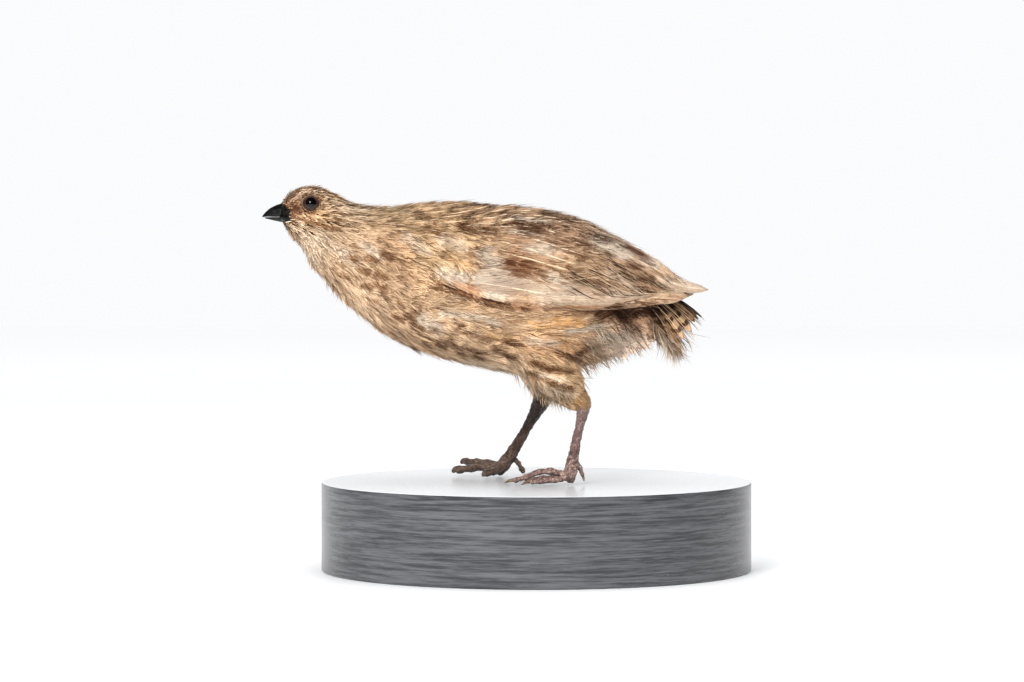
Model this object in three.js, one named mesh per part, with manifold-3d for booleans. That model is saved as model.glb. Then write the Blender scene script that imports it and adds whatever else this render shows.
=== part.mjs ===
// A life-size mounted coturnix quail, leaning forward on a round display base, in millimetres.
// +Z is up. The bird faces -X, with its right side towards +Y.
// The origin is the centre of the base's underside.
import * as THREE from "three";
import { mergeVertices } from "three/addons/utils/BufferGeometryUtils.js";
import Module from "manifold-3d";

const wasm = await Module();
wasm.setup();

// Driving dimensions
const GAP = 0.3;
const BASE_RADIUS = 73;
const BASE_HEIGHT = 30;
const BASE_EDGE = 0.6;
const BASE_SIDES = 60;
const BODY_SIDES = 24;
const RIB_STEPS = 2;
const BELLY_FULLNESS = 0.12;
const EYE_RADIUS = 3.15;
const EYE_AT = new THREE.Vector3(-76.4, 6.35, 124.0);
const EYE_LOOK = new THREE.Vector3(0.02, 1, 0.26).normalize();
const LID_RADIUS = 2.85;
const LID_THICKNESS = 0.62;
const LID_OUT = 2.0;
const WING_DEPTH = 4;
const MIDLINE = 0.2;
const SCUTES = 9;
const SCUTE_RISE = 0.2;

// The trunk from the face to the rump: each rib is the crown point, the keel point and the half width.
const TRUNK = [
  { top: [-86.0, 124.2], keel: [-85.6, 118.2], half: 2.8 },
  { top: [-85.3, 126.4], keel: [-85.8, 116.2], half: 4.8 },
  { top: [-82.4, 128.6], keel: [-84.4, 113.9], half: 6.9 },
  { top: [-78.8, 129.9], keel: [-82.6, 111.6], half: 8.6 },
  { top: [-74.5, 130.1], keel: [-80.6, 109.0], half: 9.6 },
  { top: [-69.8, 128.4], keel: [-78.4, 106.0], half: 10.2 },
  { top: [-65.2, 125.8], keel: [-75.6, 102.4], half: 11.0 },
  { top: [-60.2, 123.9], keel: [-71.6, 98.0], half: 12.6 },
  { top: [-54.0, 123.5], keel: [-66.2, 92.4], half: 15.2 },
  { top: [-46.5, 123.9], keel: [-58.8, 85.2], half: 18.6 },
  { top: [-38.0, 125.0], keel: [-49.5, 78.6], half: 22.0 },
  { top: [-27.5, 125.2], keel: [-37.5, 73.0], half: 24.8 },
  { top: [-16.0, 124.3], keel: [-23.5, 69.4], half: 25.7 },
  { top: [-4.0, 122.0], keel: [-8.5, 66.2], half: 25.3 },
  { top: [8.0, 117.8], keel: [7.0, 65.6], half: 23.5 },
  { top: [19.0, 113.2], keel: [20.0, 69.8], half: 20.0 },
  { top: [28.5, 107.0], keel: [30.0, 73.8], half: 15.2 },
  { top: [36.0, 100.4], keel: [38.0, 76.8], half: 10.2 },
  { top: [40.5, 95.8], keel: [42.2, 80.5], half: 5.4 },
];
const HEAD_RIB = 6;
const NECK_RIB = 9;

// The sheath of folded wings over the trunk, by upright sections: x, top, bottom and half width.
const SHEATH = [
  { x: -42, top: 125.0, bottom: 76, half: 21.5 },
  { x: -30, top: 126.2, bottom: 72.5, half: 27.2 },
  { x: -18, top: 126.0, bottom: 70, half: 29.0 },
  { x: -6, top: 125.0, bottom: 68, half: 29.4 },
  { x: 6, top: 121.9, bottom: 68, half: 28.0 },
  { x: 18, top: 117.4, bottom: 72, half: 24.8 },
  { x: 28, top: 112.2, bottom: 77, half: 20.2 },
  { x: 38, top: 105.8, bottom: 81.5, half: 14.8 },
  { x: 48, top: 99.7, bottom: 86, half: 9.2 },
  { x: 58, top: 95.2, bottom: 91, half: 3.4 },
];

// The folded wing seen from the side, x and z, clockwise from the wrist.
const WING_SIDE = [
  [-32.0, 101.5],
  [-31.5, 108.0],
  [-28.0, 114.0],
  [-17.0, 128.0],
  [58.5, 128.0],
  [57.8, 94.4],
  [48.8, 92.8],
  [38.6, 91.4],
  [28.4, 89.8],
  [18.2, 88.8],
  [8.0, 88.4],
  [-2.2, 89.0],
  [-12.4, 90.9],
  [-22.6, 94.4],
  [-29.4, 97.4],
];
// The wing's inner border seen from above, as x and distance from the midline.
const WING_INNER = [
  [-34, 17],
  [-24, 11],
  [-10, 8],
  [4, 5],
  [16, 2],
  [24, MIDLINE],
  [60, MIDLINE],
];

function material(color, roughness) {
  return new THREE.MeshStandardMaterial({ color, roughness, metalness: 0 });
}

const PLUMAGE = material(0xb39468, 0.9);
const DARK_PLUMAGE = material(0x6b4c33, 0.9);
const HORN = material(0x2b2a2c, 0.45);
const GLASS = material(0x1c0f0c, 0.1);
const PINK_SKIN = material(0x8d6f66, 0.6);
const DARK_SKIN = material(0x4a3d35, 0.65);
const CLAW_HORN = material(0xa3824f, 0.5);
const BASE_PAINT = material(0x8f9296, 0.6);

// A closed three.js geometry as a solid, with its faces turned out.
function solid(geometry) {
  const bare = geometry.index ? geometry.toNonIndexed() : geometry.clone();
  const positions = new THREE.BufferGeometry().setAttribute("position", bare.getAttribute("position"));
  const merged = mergeVertices(positions, 1e-3);
  const vertProperties = merged.attributes.position.array;
  const triVerts = new Uint32Array(merged.index.array);
  const made = new wasm.Manifold(new wasm.Mesh({ numProp: 3, vertProperties, triVerts }));
  if (made.volume() > 0) return made;
  for (let i = 0; i < triVerts.length; i += 3) {
    [triVerts[i + 1], triVerts[i + 2]] = [triVerts[i + 2], triVerts[i + 1]];
  }
  return new wasm.Manifold(new wasm.Mesh({ numProp: 3, vertProperties, triVerts }));
}

// The largest closed body of a solid.
function largest(made) {
  const bodies = made.decompose();
  return bodies.reduce((best, body) => (body.volume() > best.volume() ? body : best), bodies[0]);
}

function join(...solids) {
  return solids.reduce((sum, next) => sum.add(next));
}

function cutBy(made, ...cutters) {
  return cutters.reduce((left, cutter) => left.subtract(cutter), made);
}

function meshOf(name, made, finish) {
  const { vertProperties, triVerts } = largest(made).getMesh();
  const geometry = new THREE.BufferGeometry()
    .setAttribute("position", new THREE.BufferAttribute(new Float32Array(vertProperties), 3))
    .setIndex(new THREE.BufferAttribute(new Uint32Array(triVerts), 1));
  geometry.computeVertexNormals();
  const mesh = new THREE.Mesh(geometry, finish);
  mesh.name = name;
  return mesh;
}

// Rings of points joined into one closed skin, each end closed by a fan.
function ringsGeometry(rows) {
  const sides = rows[0].length;
  const middle = (row) => row.reduce((sum, p) => sum.add(p), new THREE.Vector3()).divideScalar(row.length);
  const points = [...rows.flat(), middle(rows[0]), middle(rows.at(-1))];
  const start = rows.length * sides;
  const faces = [];
  for (let i = 0; i < rows.length - 1; i++) {
    for (let j = 0; j < sides; j++) {
      const a = i * sides + j;
      const b = i * sides + ((j + 1) % sides);
      faces.push(a, b, b + sides, a, b + sides, a + sides);
    }
  }
  const last = (rows.length - 1) * sides;
  for (let j = 0; j < sides; j++) {
    const next = (j + 1) % sides;
    faces.push(start, next, j, start + 1, last + j, last + next);
  }
  return new THREE.BufferGeometry().setFromPoints(points).setIndex(faces);
}

// One point of an egg-shaped section: angle 0 is the top, a quarter turn the side.
function eggPoint(top, keel, half, angle) {
  const point = new THREE.Vector3().addVectors(top, keel).multiplyScalar(0.5);
  const reach = new THREE.Vector3().subVectors(top, keel).multiplyScalar(Math.cos(angle) / 2);
  point.add(reach);
  point.y += half * Math.sin(angle) * (1 - BELLY_FULLNESS * Math.cos(angle));
  return point;
}

const spread = (count, make) => Array.from({ length: count }, (_, i) => make(i));

// The trunk's skin, grown outwards by a margin.
function trunkSolid(margin = 0) {
  const curve = (points) => new THREE.CatmullRomCurve3(points);
  const tops = curve(TRUNK.map((rib) => new THREE.Vector3(rib.top[0], 0, rib.top[1])));
  const keels = curve(TRUNK.map((rib) => new THREE.Vector3(rib.keel[0], 0, rib.keel[1])));
  const halves = curve(TRUNK.map((rib, i) => new THREE.Vector3(i, 0, rib.half)));
  const steps = (TRUNK.length - 1) * RIB_STEPS;
  const rows = spread(steps + 1, (i) => {
    const top = tops.getPoint(i / steps);
    const keel = keels.getPoint(i / steps);
    const out = new THREE.Vector3().subVectors(top, keel).setLength(margin);
    top.add(out);
    keel.sub(out);
    const end = i === 0 ? -margin : i === steps ? margin : 0;
    top.x += end;
    keel.x += end;
    const half = halves.getPoint(i / steps).z + margin;
    return spread(BODY_SIDES, (j) => eggPoint(top, keel, half, (j / BODY_SIDES) * Math.PI * 2));
  });
  return solid(ringsGeometry(rows));
}

// The side of the trunk's rib plane that faces the tail, shifted back by a distance.
function ribPlane(index, shift) {
  const rib = TRUNK[index];
  const up = new THREE.Vector3(rib.top[0] - rib.keel[0], 0, rib.top[1] - rib.keel[1]).normalize();
  const back = new THREE.Vector3(up.z, 0, -up.x);
  return { back, offset: back.x * rib.top[0] + back.z * rib.top[1] + shift };
}

function behindRib(made, index, shift) {
  const { back, offset } = ribPlane(index, shift);
  return made.trimByPlane(back.toArray(), offset);
}

function beforeRib(made, index, shift) {
  const { back, offset } = ribPlane(index, shift);
  return made.trimByPlane(back.clone().negate().toArray(), -offset);
}

// The wings' sheath at a place along the body, as a smooth curve of its sections.
const sheathTops = new THREE.CatmullRomCurve3(SHEATH.map((s) => new THREE.Vector3(s.x, s.half, s.top)));
const sheathFeet = new THREE.CatmullRomCurve3(SHEATH.map((s) => new THREE.Vector3(s.x, 0, s.bottom)));

const THINNEST = 0.3;

function sheathSection(share, shrink) {
  const top = sheathTops.getPoint(share);
  const keel = sheathFeet.getPoint(share);
  const half = Math.max(top.y - shrink, THINNEST);
  top.y = 0;
  const middle = (top.z + keel.z) / 2;
  top.z = Math.max(top.z - shrink, middle + THINNEST);
  keel.z = Math.min(keel.z + shrink, middle - THINNEST);
  return { top, keel, half };
}

function sheathSolid(shrink = 0) {
  const steps = SHEATH.length - 1;
  const rows = spread(steps + 1, (i) => {
    const { top, keel, half } = sheathSection(i / steps, shrink);
    return spread(BODY_SIDES, (j) => eggPoint(top, keel, half, (j / BODY_SIDES) * Math.PI * 2));
  });
  return solid(ringsGeometry(rows));
}

// A flat outline made a slab.
function slab(points, depth) {
  return new THREE.ExtrudeGeometry(new THREE.Shape(points.map((p) => new THREE.Vector2(...p))), {
    depth,
    bevelEnabled: false,
  });
}

// A closed plate between a grid of points and a second grid under it, both triangulated alike.
function plate(upper, lower) {
  const rows = upper.length;
  const columns = upper[0].length;
  const points = [...upper.flat(), ...lower.flat()];
  const under = rows * columns;
  const faces = [];
  for (let i = 0; i < rows - 1; i++) {
    for (let j = 0; j < columns - 1; j++) {
      const a = i * columns + j;
      const b = a + 1;
      const c = b + columns;
      const d = a + columns;
      faces.push(a, b, c, a, c, d);
      faces.push(under + a, under + c, under + b, under + a, under + d, under + c);
    }
  }
  const rim = [];
  for (let j = 0; j < columns - 1; j++) rim.push(j);
  for (let i = 0; i < rows - 1; i++) rim.push(i * columns + columns - 1);
  for (let j = columns - 1; j > 0; j--) rim.push((rows - 1) * columns + j);
  for (let i = rows - 1; i > 0; i--) rim.push(i * columns);
  rim.forEach((a, n) => {
    const b = rim[(n + 1) % rim.length];
    faces.push(a, under + a, under + b, a, under + b, b);
  });
  return solid(new THREE.BufferGeometry().setFromPoints(points).setIndex(faces));
}

// A round tube through stops, each a centre and a radius, with rounded ends. Its front is towards face.
// With scutes, its front carries that many raised plates.
function tube(stops, { sides = 10, margin = 0, steps = 2, flat = 1, face = [0, 0, 1], scutes = 0 } = {}) {
  const path = new THREE.CatmullRomCurve3(stops.map((s) => new THREE.Vector3(...s.at)));
  const widths = new THREE.CatmullRomCurve3(stops.map((s, i) => new THREE.Vector3(i, s.r, 0)));
  const facing = new THREE.Vector3(...face);
  const row = (share, { move = 0, scale = 1, rise = 0 } = {}) => {
    const along = path.getTangent(share);
    const centre = path.getPoint(share).addScaledVector(along, move);
    const radius = (widths.getPoint(share).y + margin) * scale;
    const side = new THREE.Vector3().crossVectors(facing, along).normalize();
    const front = new THREE.Vector3().crossVectors(along, side);
    return spread(sides, (j) => {
      const angle = (j / sides) * Math.PI * 2;
      const raised = Math.sin(angle) > 0.2 ? radius + rise : radius;
      return centre
        .clone()
        .addScaledVector(side, Math.cos(angle) * raised)
        .addScaledVector(front, Math.sin(angle) * raised * flat);
    });
  };
  const cap = (share, sign) => {
    const radius = widths.getPoint(share).y;
    return row(share, { move: sign * (radius * 0.45 + margin), scale: 0.6 });
  };
  const rows = [cap(0, -1)];
  if (scutes > 0) {
    for (let k = 0; k < scutes; k++) {
      rows.push(row(k / scutes), row((k + 0.2) / scutes, { rise: SCUTE_RISE }));
    }
    rows.push(row(1));
  } else {
    const count = (stops.length - 1) * steps;
    for (let i = 0; i <= count; i++) rows.push(row(i / count));
  }
  rows.push(cap(1, 1));
  return solid(ringsGeometry(rows));
}

// The same row of numbers from 0 to 1 each time, for small differences between feathers.
function lottery(seed) {
  let state = seed;
  return () => {
    state = (state * 1664525 + 1013904223) % 4294967296;
    return state / 4294967296;
  };
}

// Base

function base() {
  const profile = [
    [0, 0],
    [BASE_RADIUS - BASE_EDGE, 0],
    [BASE_RADIUS, BASE_EDGE],
    [BASE_RADIUS, BASE_HEIGHT - BASE_EDGE],
    [BASE_RADIUS - BASE_EDGE, BASE_HEIGHT],
    [0, BASE_HEIGHT],
  ].map((p) => new THREE.Vector2(...p));
  return solid(new THREE.LatheGeometry(profile, BASE_SIDES).rotateX(Math.PI / 2));
}

// Head, bill and eyes

const eyeCentre = (side) => new THREE.Vector3(EYE_AT.x, EYE_AT.y * side, EYE_AT.z);

function eyeBall(side, margin = 0) {
  const ball = new THREE.SphereGeometry(EYE_RADIUS + margin, 16, 10);
  return solid(ball.translate(...eyeCentre(side).toArray()));
}

function lidRing(side) {
  const look = new THREE.Vector3(EYE_LOOK.x, EYE_LOOK.y * side, EYE_LOOK.z);
  const ring = new THREE.TorusGeometry(LID_RADIUS, LID_THICKNESS, 4, 16);
  ring.applyQuaternion(new THREE.Quaternion().setFromUnitVectors(new THREE.Vector3(0, 0, 1), look));
  const centre = eyeCentre(side).addScaledVector(look, LID_OUT);
  return solid(ring.translate(...centre.toArray()));
}

// The upper bill from its root in the face to the tip: centre of the cutting edge, height and half width.
const UPPER_BILL = [
  { x: -82.0, edge: 119.9, height: 4.6, half: 3.1 },
  { x: -85.4, edge: 119.9, height: 4.7, half: 2.9 },
  { x: -87.2, edge: 119.8, height: 4.5, half: 2.6 },
  { x: -88.9, edge: 119.8, height: 3.8, half: 2.15 },
  { x: -90.6, edge: 119.85, height: 2.8, half: 1.6 },
  { x: -91.9, edge: 119.7, height: 1.75, half: 1.0 },
  { x: -92.9, edge: 119.4, height: 0.7, half: 0.4 },
];
const LOWER_BILL = [
  { x: -82.0, edge: 119.6, height: -1.9, half: 2.9 },
  { x: -85.4, edge: 119.6, height: -1.6, half: 2.65 },
  { x: -87.2, edge: 119.5, height: -1.3, half: 2.3 },
  { x: -88.9, edge: 119.5, height: -1.0, half: 1.8 },
  { x: -90.6, edge: 119.5, height: -0.6, half: 1.2 },
  { x: -91.6, edge: 119.4, height: -0.3, half: 0.7 },
];
const BILL_ARCH = 8;

function billSolid(sections, margin = 0) {
  const rows = sections.map(({ x, edge, height, half }, i) => {
    const end = i === 0 ? margin : i === sections.length - 1 ? -margin : 0;
    const up = Math.sign(height);
    return spread(BILL_ARCH + 1, (j) => {
      const angle = (j / BILL_ARCH) * Math.PI;
      const reach = Math.sin(angle) ** 0.8 * (height + 2 * up * margin);
      return new THREE.Vector3(x + end, Math.cos(angle) * (half + margin), edge + reach - up * margin);
    });
  });
  return solid(ringsGeometry(rows));
}

function nostril(side) {
  const slit = new THREE.SphereGeometry(1, 8, 6).scale(0.85, 0.5, 0.34).rotateY(0.3);
  return solid(slit.translate(-87.1, side * 2.2, 122.6));
}

// Legs: each stop is a centre and a radius. Left is the side nearer the viewer, at -Y.

const THIGHS = {
  left: [
    { at: [-2, -11, 86], r: 12 },
    { at: [3.6, -13.5, 74], r: 11.4 },
    { at: [7.6, -15.4, 66], r: 8.8 },
    { at: [11.4, -16.4, 60.4], r: 5.2 },
    { at: [14.3, -17, 57.0], r: 3.1 },
  ],
  right: [
    { at: [-3, 11, 86], r: 11.5 },
    { at: [-1.0, 13.5, 74], r: 9.6 },
    { at: [0.9, 15.6, 66], r: 6.6 },
    { at: [2.0, 16.9, 61.4], r: 4.2 },
    { at: [2.8, 17.6, 58.4], r: 2.9 },
  ],
};
const SHANKS = {
  left: [
    { at: [15.7, -17.2, 57.2], r: 2.5 },
    { at: [15.1, -17.4, 53.2], r: 1.9 },
    { at: [14.3, -17.8, 49.4], r: 1.5 },
    { at: [13.3, -18.3, 45.0], r: 1.55 },
    { at: [12.5, -18.8, 41.0], r: 1.75 },
    { at: [11.8, -19.2, 37.0], r: 2.25 },
    { at: [11.2, -19.5, 33.8], r: 2.3 },
    { at: [11.3, -19.5, 32.3], r: 1.9 },
  ],
  right: [
    { at: [3.0, 17.8, 58.0], r: 2.7 },
    { at: [1.0, 18.1, 54.2], r: 2.1 },
    { at: [-2.2, 18.6, 48.8], r: 1.75 },
    { at: [-5.4, 19.1, 43.2], r: 1.75 },
    { at: [-8.6, 19.7, 38.0], r: 2.15 },
    { at: [-11.0, 20.2, 34.6], r: 2.5 },
    { at: [-12.4, 20.4, 32.4], r: 2.0 },
  ],
};
// Each toe is the path of its bones from the pad, its radius at the pad and at the claw, and the claw's tip.
const TOES = {
  left: {
    middle: {
      bones: [[10.2, -19.4, 33.2], [5.0, -19.1, 33.7], [0.4, -18.7, 33.6], [-3.8, -18.3, 32.3], [-7.0, -18.0, 31.6]],
      radii: [1.45, 0.95],
      claw: [-10.6, -17.7, 30.75],
    },
    outer: {
      bones: [[10.8, -20.4, 32.8], [6.4, -22.0, 32.0], [1.2, -23.9, 31.7], [-1.6, -24.8, 31.5]],
      radii: [1.4, 0.95],
      claw: [-5.0, -25.7, 30.7],
    },
    inner: {
      bones: [[10.4, -18.2, 32.8], [5.8, -15.2, 32.2], [1.6, -12.8, 31.9], [-0.8, -11.6, 31.6]],
      radii: [1.4, 0.95],
      claw: [-3.9, -10.1, 30.7],
    },
    hind: {
      bones: [[12.9, -18.4, 38.2], [14.4, -17.8, 35.8], [15.2, -17.4, 33.6]],
      radii: [1.0, 0.85],
      claw: [15.9, -17.1, 31.4],
    },
  },
  right: {
    middle: {
      bones: [[-12.6, 20.5, 33.6], [-17.4, 20.8, 33.5], [-22.2, 21.1, 33.1], [-26.6, 21.3, 32.5]],
      radii: [1.6, 1.4],
      claw: [-30.0, 21.5, 31.7],
    },
    outer: {
      bones: [[-12.3, 21.6, 34.0], [-16.8, 25.0, 34.5], [-21.0, 28.2, 34.7], [-24.2, 30.3, 34.8]],
      radii: [1.5, 1.2],
      claw: [-26.9, 32.0, 34.2],
    },
    inner: {
      bones: [[-12.2, 19.2, 33.2], [-14.6, 14.8, 32.4], [-17.0, 10.8, 32.1]],
      radii: [1.5, 1.3],
      claw: [-18.9, 7.9, 31.2],
    },
    hind: {
      bones: [[-8.4, 20.0, 37.2], [-6.2, 20.3, 34.8], [-4.9, 20.5, 32.8]],
      radii: [1.05, 0.95],
      claw: [-4.1, 20.6, 31.1],
    },
  },
};
const TOE_SIDES = 7;
const CLAW_SIDES = 6;
const CLAW_WIDTH = 0.72;
const CLAW_TIP = 0.26;
const CLAW_ARCH = 0.3;

function toeStops({ bones, radii }) {
  return bones.map((at, i) => ({ at, r: THREE.MathUtils.lerp(radii[0], radii[1], i / (bones.length - 1)) }));
}

// The claw starts inside the end of the toe, a little narrower than it, and arches to its tip.
function clawStops({ bones, radii, claw }) {
  const end = new THREE.Vector3(...bones.at(-1));
  const tip = new THREE.Vector3(...claw);
  const width = radii[1] * CLAW_WIDTH;
  const middle = end.clone().lerp(tip, 0.6);
  middle.z += CLAW_ARCH;
  return [
    { at: end.clone().lerp(tip, -0.1).toArray(), r: width },
    { at: middle.toArray(), r: width * 0.75 },
    { at: tip.toArray(), r: CLAW_TIP },
  ];
}

// Wings and tail

// The wing under its feathers: the sheath's shell inside the wing's outlines from the side and from above.
const SLAB_WIDTH = 40;
const SLAB_HEIGHT = 160;

function wingCore(side, trunkGrown) {
  const upright = slab(WING_SIDE, SLAB_WIDTH).rotateX(Math.PI / 2).translate(0, side > 0 ? SLAB_WIDTH : 0, 0);
  const sideOutline = solid(upright);
  const inner = WING_INNER.map(([x, y]) => [x, y * side]);
  const outer = [inner.at(-1)[0], inner[0][0]].map((x) => [x, SLAB_WIDTH * side]);
  const planSlab = solid(slab([...inner, ...outer], SLAB_HEIGHT));
  const shell = sheathSolid().subtract(sheathSolid(WING_DEPTH));
  return shell.intersect(sideOutline).intersect(planSlab).subtract(trunkGrown);
}

// A point on the wings' sheath: x along the body, angle from the top in degrees, and height over it.
function sheathPoint(x, degrees, lift, side) {
  let low = 0;
  let high = 1;
  for (let i = 0; i < 24; i++) {
    const middle = (low + high) / 2;
    if (sheathTops.getPoint(middle).x < x) low = middle;
    else high = middle;
  }
  const { top, keel, half } = sheathSection(low, -lift);
  const point = eggPoint(top, keel, half, THREE.MathUtils.degToRad(degrees));
  point.y *= side;
  return point;
}

// Feathers, in millimetres: how thick, how much thinner at the tip, how domed, how far the lower edge stands
// over the upper one, and how deep the root goes in.
const VANE_THICKNESS = 0.85;
const VANE_TAPER = 0.35;
const VANE_CAMBER = 0.15;
const VANE_ROLL = 0.28;
const VANE_SUNK = 1.2;
const FLAT_VANE = [-1, 1];

// The breadth of a feather along its length, from root to tip, as a share of its full breadth.
const VANE_BREADTH = [
  [0, 0.6],
  [0.45, 1],
  [0.86, 0.85],
  [1, 0.3],
];
// A short feather needs fewer stations.
const COVERT_BREADTH = [
  [0, 0.7],
  [0.45, 1],
  [0.82, 0.85],
  [1, 0.35],
];

// One feather: place(along, across, height) gives its points, across from -1 to 1.
// It leaves the skin at the share of its length given by free, and thins towards its tip.
function vane(place, breadths, { sunk, lift, roll, free = 0.7, columns = [-1, 0, 1] }) {
  const surface = (thickness) =>
    breadths.map(([along, breadth]) =>
      columns.map((across) => {
        const camber = across === 0 ? VANE_CAMBER : 0;
        const height = THREE.MathUtils.lerp(-sunk, lift, Math.min(1, along / free)) + camber + across * roll;
        return place(along, across * breadth, height - thickness * (1 - VANE_TAPER * along));
      }),
    );
  return plate(surface(0), surface(VANE_THICKNESS));
}

// The wing's tiers of feathers. Each is a row from its uppermost feather to its lowest: the roots' x, the tips' x,
// the angles of the roots and tips round the sheath, half the breadth in degrees, and the height of the tips.
// Reach adds length to the row's middle.
const WING_TIERS = [
  { count: 4, root: [12, 6], tip: [58.2, 46], at: [88, 101], end: [78, 106], wide: 7, lift: 0.1, long: true },
  { count: 7, root: [2, -14], tip: [42, 30], reach: 13, at: [36, 94], end: [24, 98], wide: 8, lift: 0.5, long: true },
  { count: 7, root: [-12, -22], tip: [15, 5], reach: 4, at: [37, 94], end: [37, 96], wide: 7.6, lift: 0.9 },
  { count: 6, root: [-20, -27], tip: [-5, -9], reach: 2, at: [40, 92], end: [40, 93], wide: 8, lift: 0.8 },
  { count: 5, root: [-24, -29.5], tip: [-15, -20], reach: 1, at: [44, 88], end: [42, 90], wide: 8, lift: 0.6 },
  { count: 4, root: [-12, -21], tip: [22, 2], at: [25, 40], end: [26, 44], wide: 7.4, lift: 1.5 },
];
const WIDTH_SPREAD = 0.06;

function wingFeathers(side, chance) {
  const feathers = [];
  for (const tier of WING_TIERS) {
    for (let k = 0; k < tier.count; k++) {
      const share = k / (tier.count - 1);
      const between = ([from, to]) => THREE.MathUtils.lerp(from, to, share);
      const root = between(tier.root);
      const tip = between(tier.tip) + (tier.reach ?? 0) * Math.sin(share * Math.PI) + chance() - 0.5;
      const breadth = tier.wide * (1 + WIDTH_SPREAD * (2 * chance() - 1));
      const at = between(tier.at);
      const end = between(tier.end);
      const put = (along, across, height) => {
        const x = THREE.MathUtils.lerp(root, tip, along);
        return sheathPoint(x, THREE.MathUtils.lerp(at, end, along) + across * breadth, height, side);
      };
      const form = { sunk: VANE_SUNK, lift: tier.lift, roll: VANE_ROLL };
      const feather = tier.long
        ? vane(put, VANE_BREADTH, { ...form, free: 0.4 })
        : vane(put, COVERT_BREADTH, { ...form, columns: FLAT_VANE });
      feathers.push(feather);
    }
  }
  return feathers;
}

function wing(side, trunkGrown) {
  const feathers = wingFeathers(side, lottery(7));
  const whole = largest(join(wingCore(side, trunkGrown), ...feathers));
  return whole.trimByPlane([0, side, 0], MIDLINE).subtract(trunkGrown);
}

// The drooping tail: a roof-shaped fan with its root under the wings, and loose feathers under it.
const TAIL_STEMS = [
  { at: [33, 0, 90.5], r: 5.6 },
  { at: [41, 0, 85.6], r: 6.6 },
  { at: [50, 0, 77.0], r: 2.6 },
];

// The sheet of the tail feathers, and the sheet of the loose feathers under them, from root to tip along 0 to 1
// and from side to side across -1 to 1.
function tailSheet(along, across) {
  const bend = 0.35 * along + 0.65 * along * along;
  const spreadSquared = across * across;
  return new THREE.Vector3(
    33 + (22.6 - 5.8 * spreadSquared) * along,
    across * (5 + 6.5 * along),
    94.5 - 2.5 * spreadSquared - (9 + 7.5 * spreadSquared) * bend,
  );
}

function underSheet(along, across) {
  return new THREE.Vector3(
    37 + (15 - 3 * across * across) * along,
    across * (5.5 + 3.5 * along),
    83 + 3 * across * across - 12.6 * along,
  );
}

// A point off a sheet along its normal.
function offSheet(sheet, along, across, height) {
  const at = sheet(along, across);
  const forward = sheet(along + 0.01, across).sub(at);
  const sideways = sheet(along, across + 0.01).sub(at);
  const normal = new THREE.Vector3().crossVectors(forward, sideways).normalize();
  return at.addScaledVector(normal, height);
}

// A row of feathers side by side on a sheet, the outer ones dropped below the middle ones.
function fan(sheet, { places, wide, from, to, drop, ...form }, chance) {
  return places.map((middle) => {
    const length = to - 0.05 * chance();
    const put = (along, across, height) =>
      offSheet(
        sheet,
        THREE.MathUtils.lerp(from, length, along),
        middle + across * wide,
        height - drop * Math.abs(middle),
      );
    return vane(put, COVERT_BREADTH, { ...form, roll: Math.sign(middle) * TAIL_ROLL });
  });
}

const TAIL_ROLL = 0.12;
const TAIL_PAIRS = [-1, -0.75, -0.52, -0.3, -0.1, 0.1, 0.3, 0.52, 0.75, 1];
const OVER_TAIL = [-0.8, -0.3, 0.3, 0.8];
const UNDER_TAIL = [-1, -0.5, 0, 0.5, 1];
const UNDER_SIDES = [-0.75, 0.75];
const TAIL_FANS = [
  [tailSheet, { places: TAIL_PAIRS, wide: 0.2, from: 0, to: 1, lift: 0, drop: 0.5 }],
  [tailSheet, { places: OVER_TAIL, wide: 0.3, from: 0, to: 0.5, lift: 0.8, drop: 0.5, columns: FLAT_VANE }],
  [underSheet, { places: UNDER_TAIL, wide: 0.32, from: 0.1, to: 1, lift: 0.2, drop: -0.4, columns: FLAT_VANE }],
  [underSheet, { places: UNDER_SIDES, wide: 0.4, from: 0, to: 0.7, lift: -0.5, drop: 0, columns: FLAT_VANE }],
];

function tail(trunkGrown) {
  const chance = lottery(11);
  const stem = tube(TAIL_STEMS, { sides: 10 });
  const feathers = TAIL_FANS.flatMap(([sheet, layout]) =>
    fan(sheet, { sunk: 0, ...layout }, chance),
  );
  return largest(join(stem, ...feathers)).subtract(trunkGrown);
}

// Assembly

const FORWARD = [-1, 0, 0];
const UP = [0, 0, 1];

const bird = new THREE.Group();
const place = (name, made, finish) => bird.add(meshOf(name, made, finish));

place("base_disc", base(), BASE_PAINT);

const trunk = trunkSolid();
const trunkGrown = trunkSolid(GAP);
const lids = [-1, 1].map(lidRing);
const sockets = [-1, 1].map((side) => eyeBall(side, GAP));
const headWhole = cutBy(join(beforeRib(trunk, HEAD_RIB, -GAP / 2), ...lids), ...sockets);
const upperBill = billSolid(UPPER_BILL);
const lowerBill = billSolid(LOWER_BILL);
const billPockets = [billSolid(UPPER_BILL, GAP), billSolid(LOWER_BILL, GAP)];
place("head", cutBy(headWhole, ...billPockets), PLUMAGE);
place("neck", beforeRib(behindRib(trunk, HEAD_RIB, GAP / 2), NECK_RIB, -GAP / 2), PLUMAGE);
place("torso", behindRib(trunk, NECK_RIB, GAP / 2), PLUMAGE);
place("bill_upper", cutBy(upperBill, nostril(-1), nostril(1)), HORN);
place("bill_lower", lowerBill, HORN);

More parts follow.
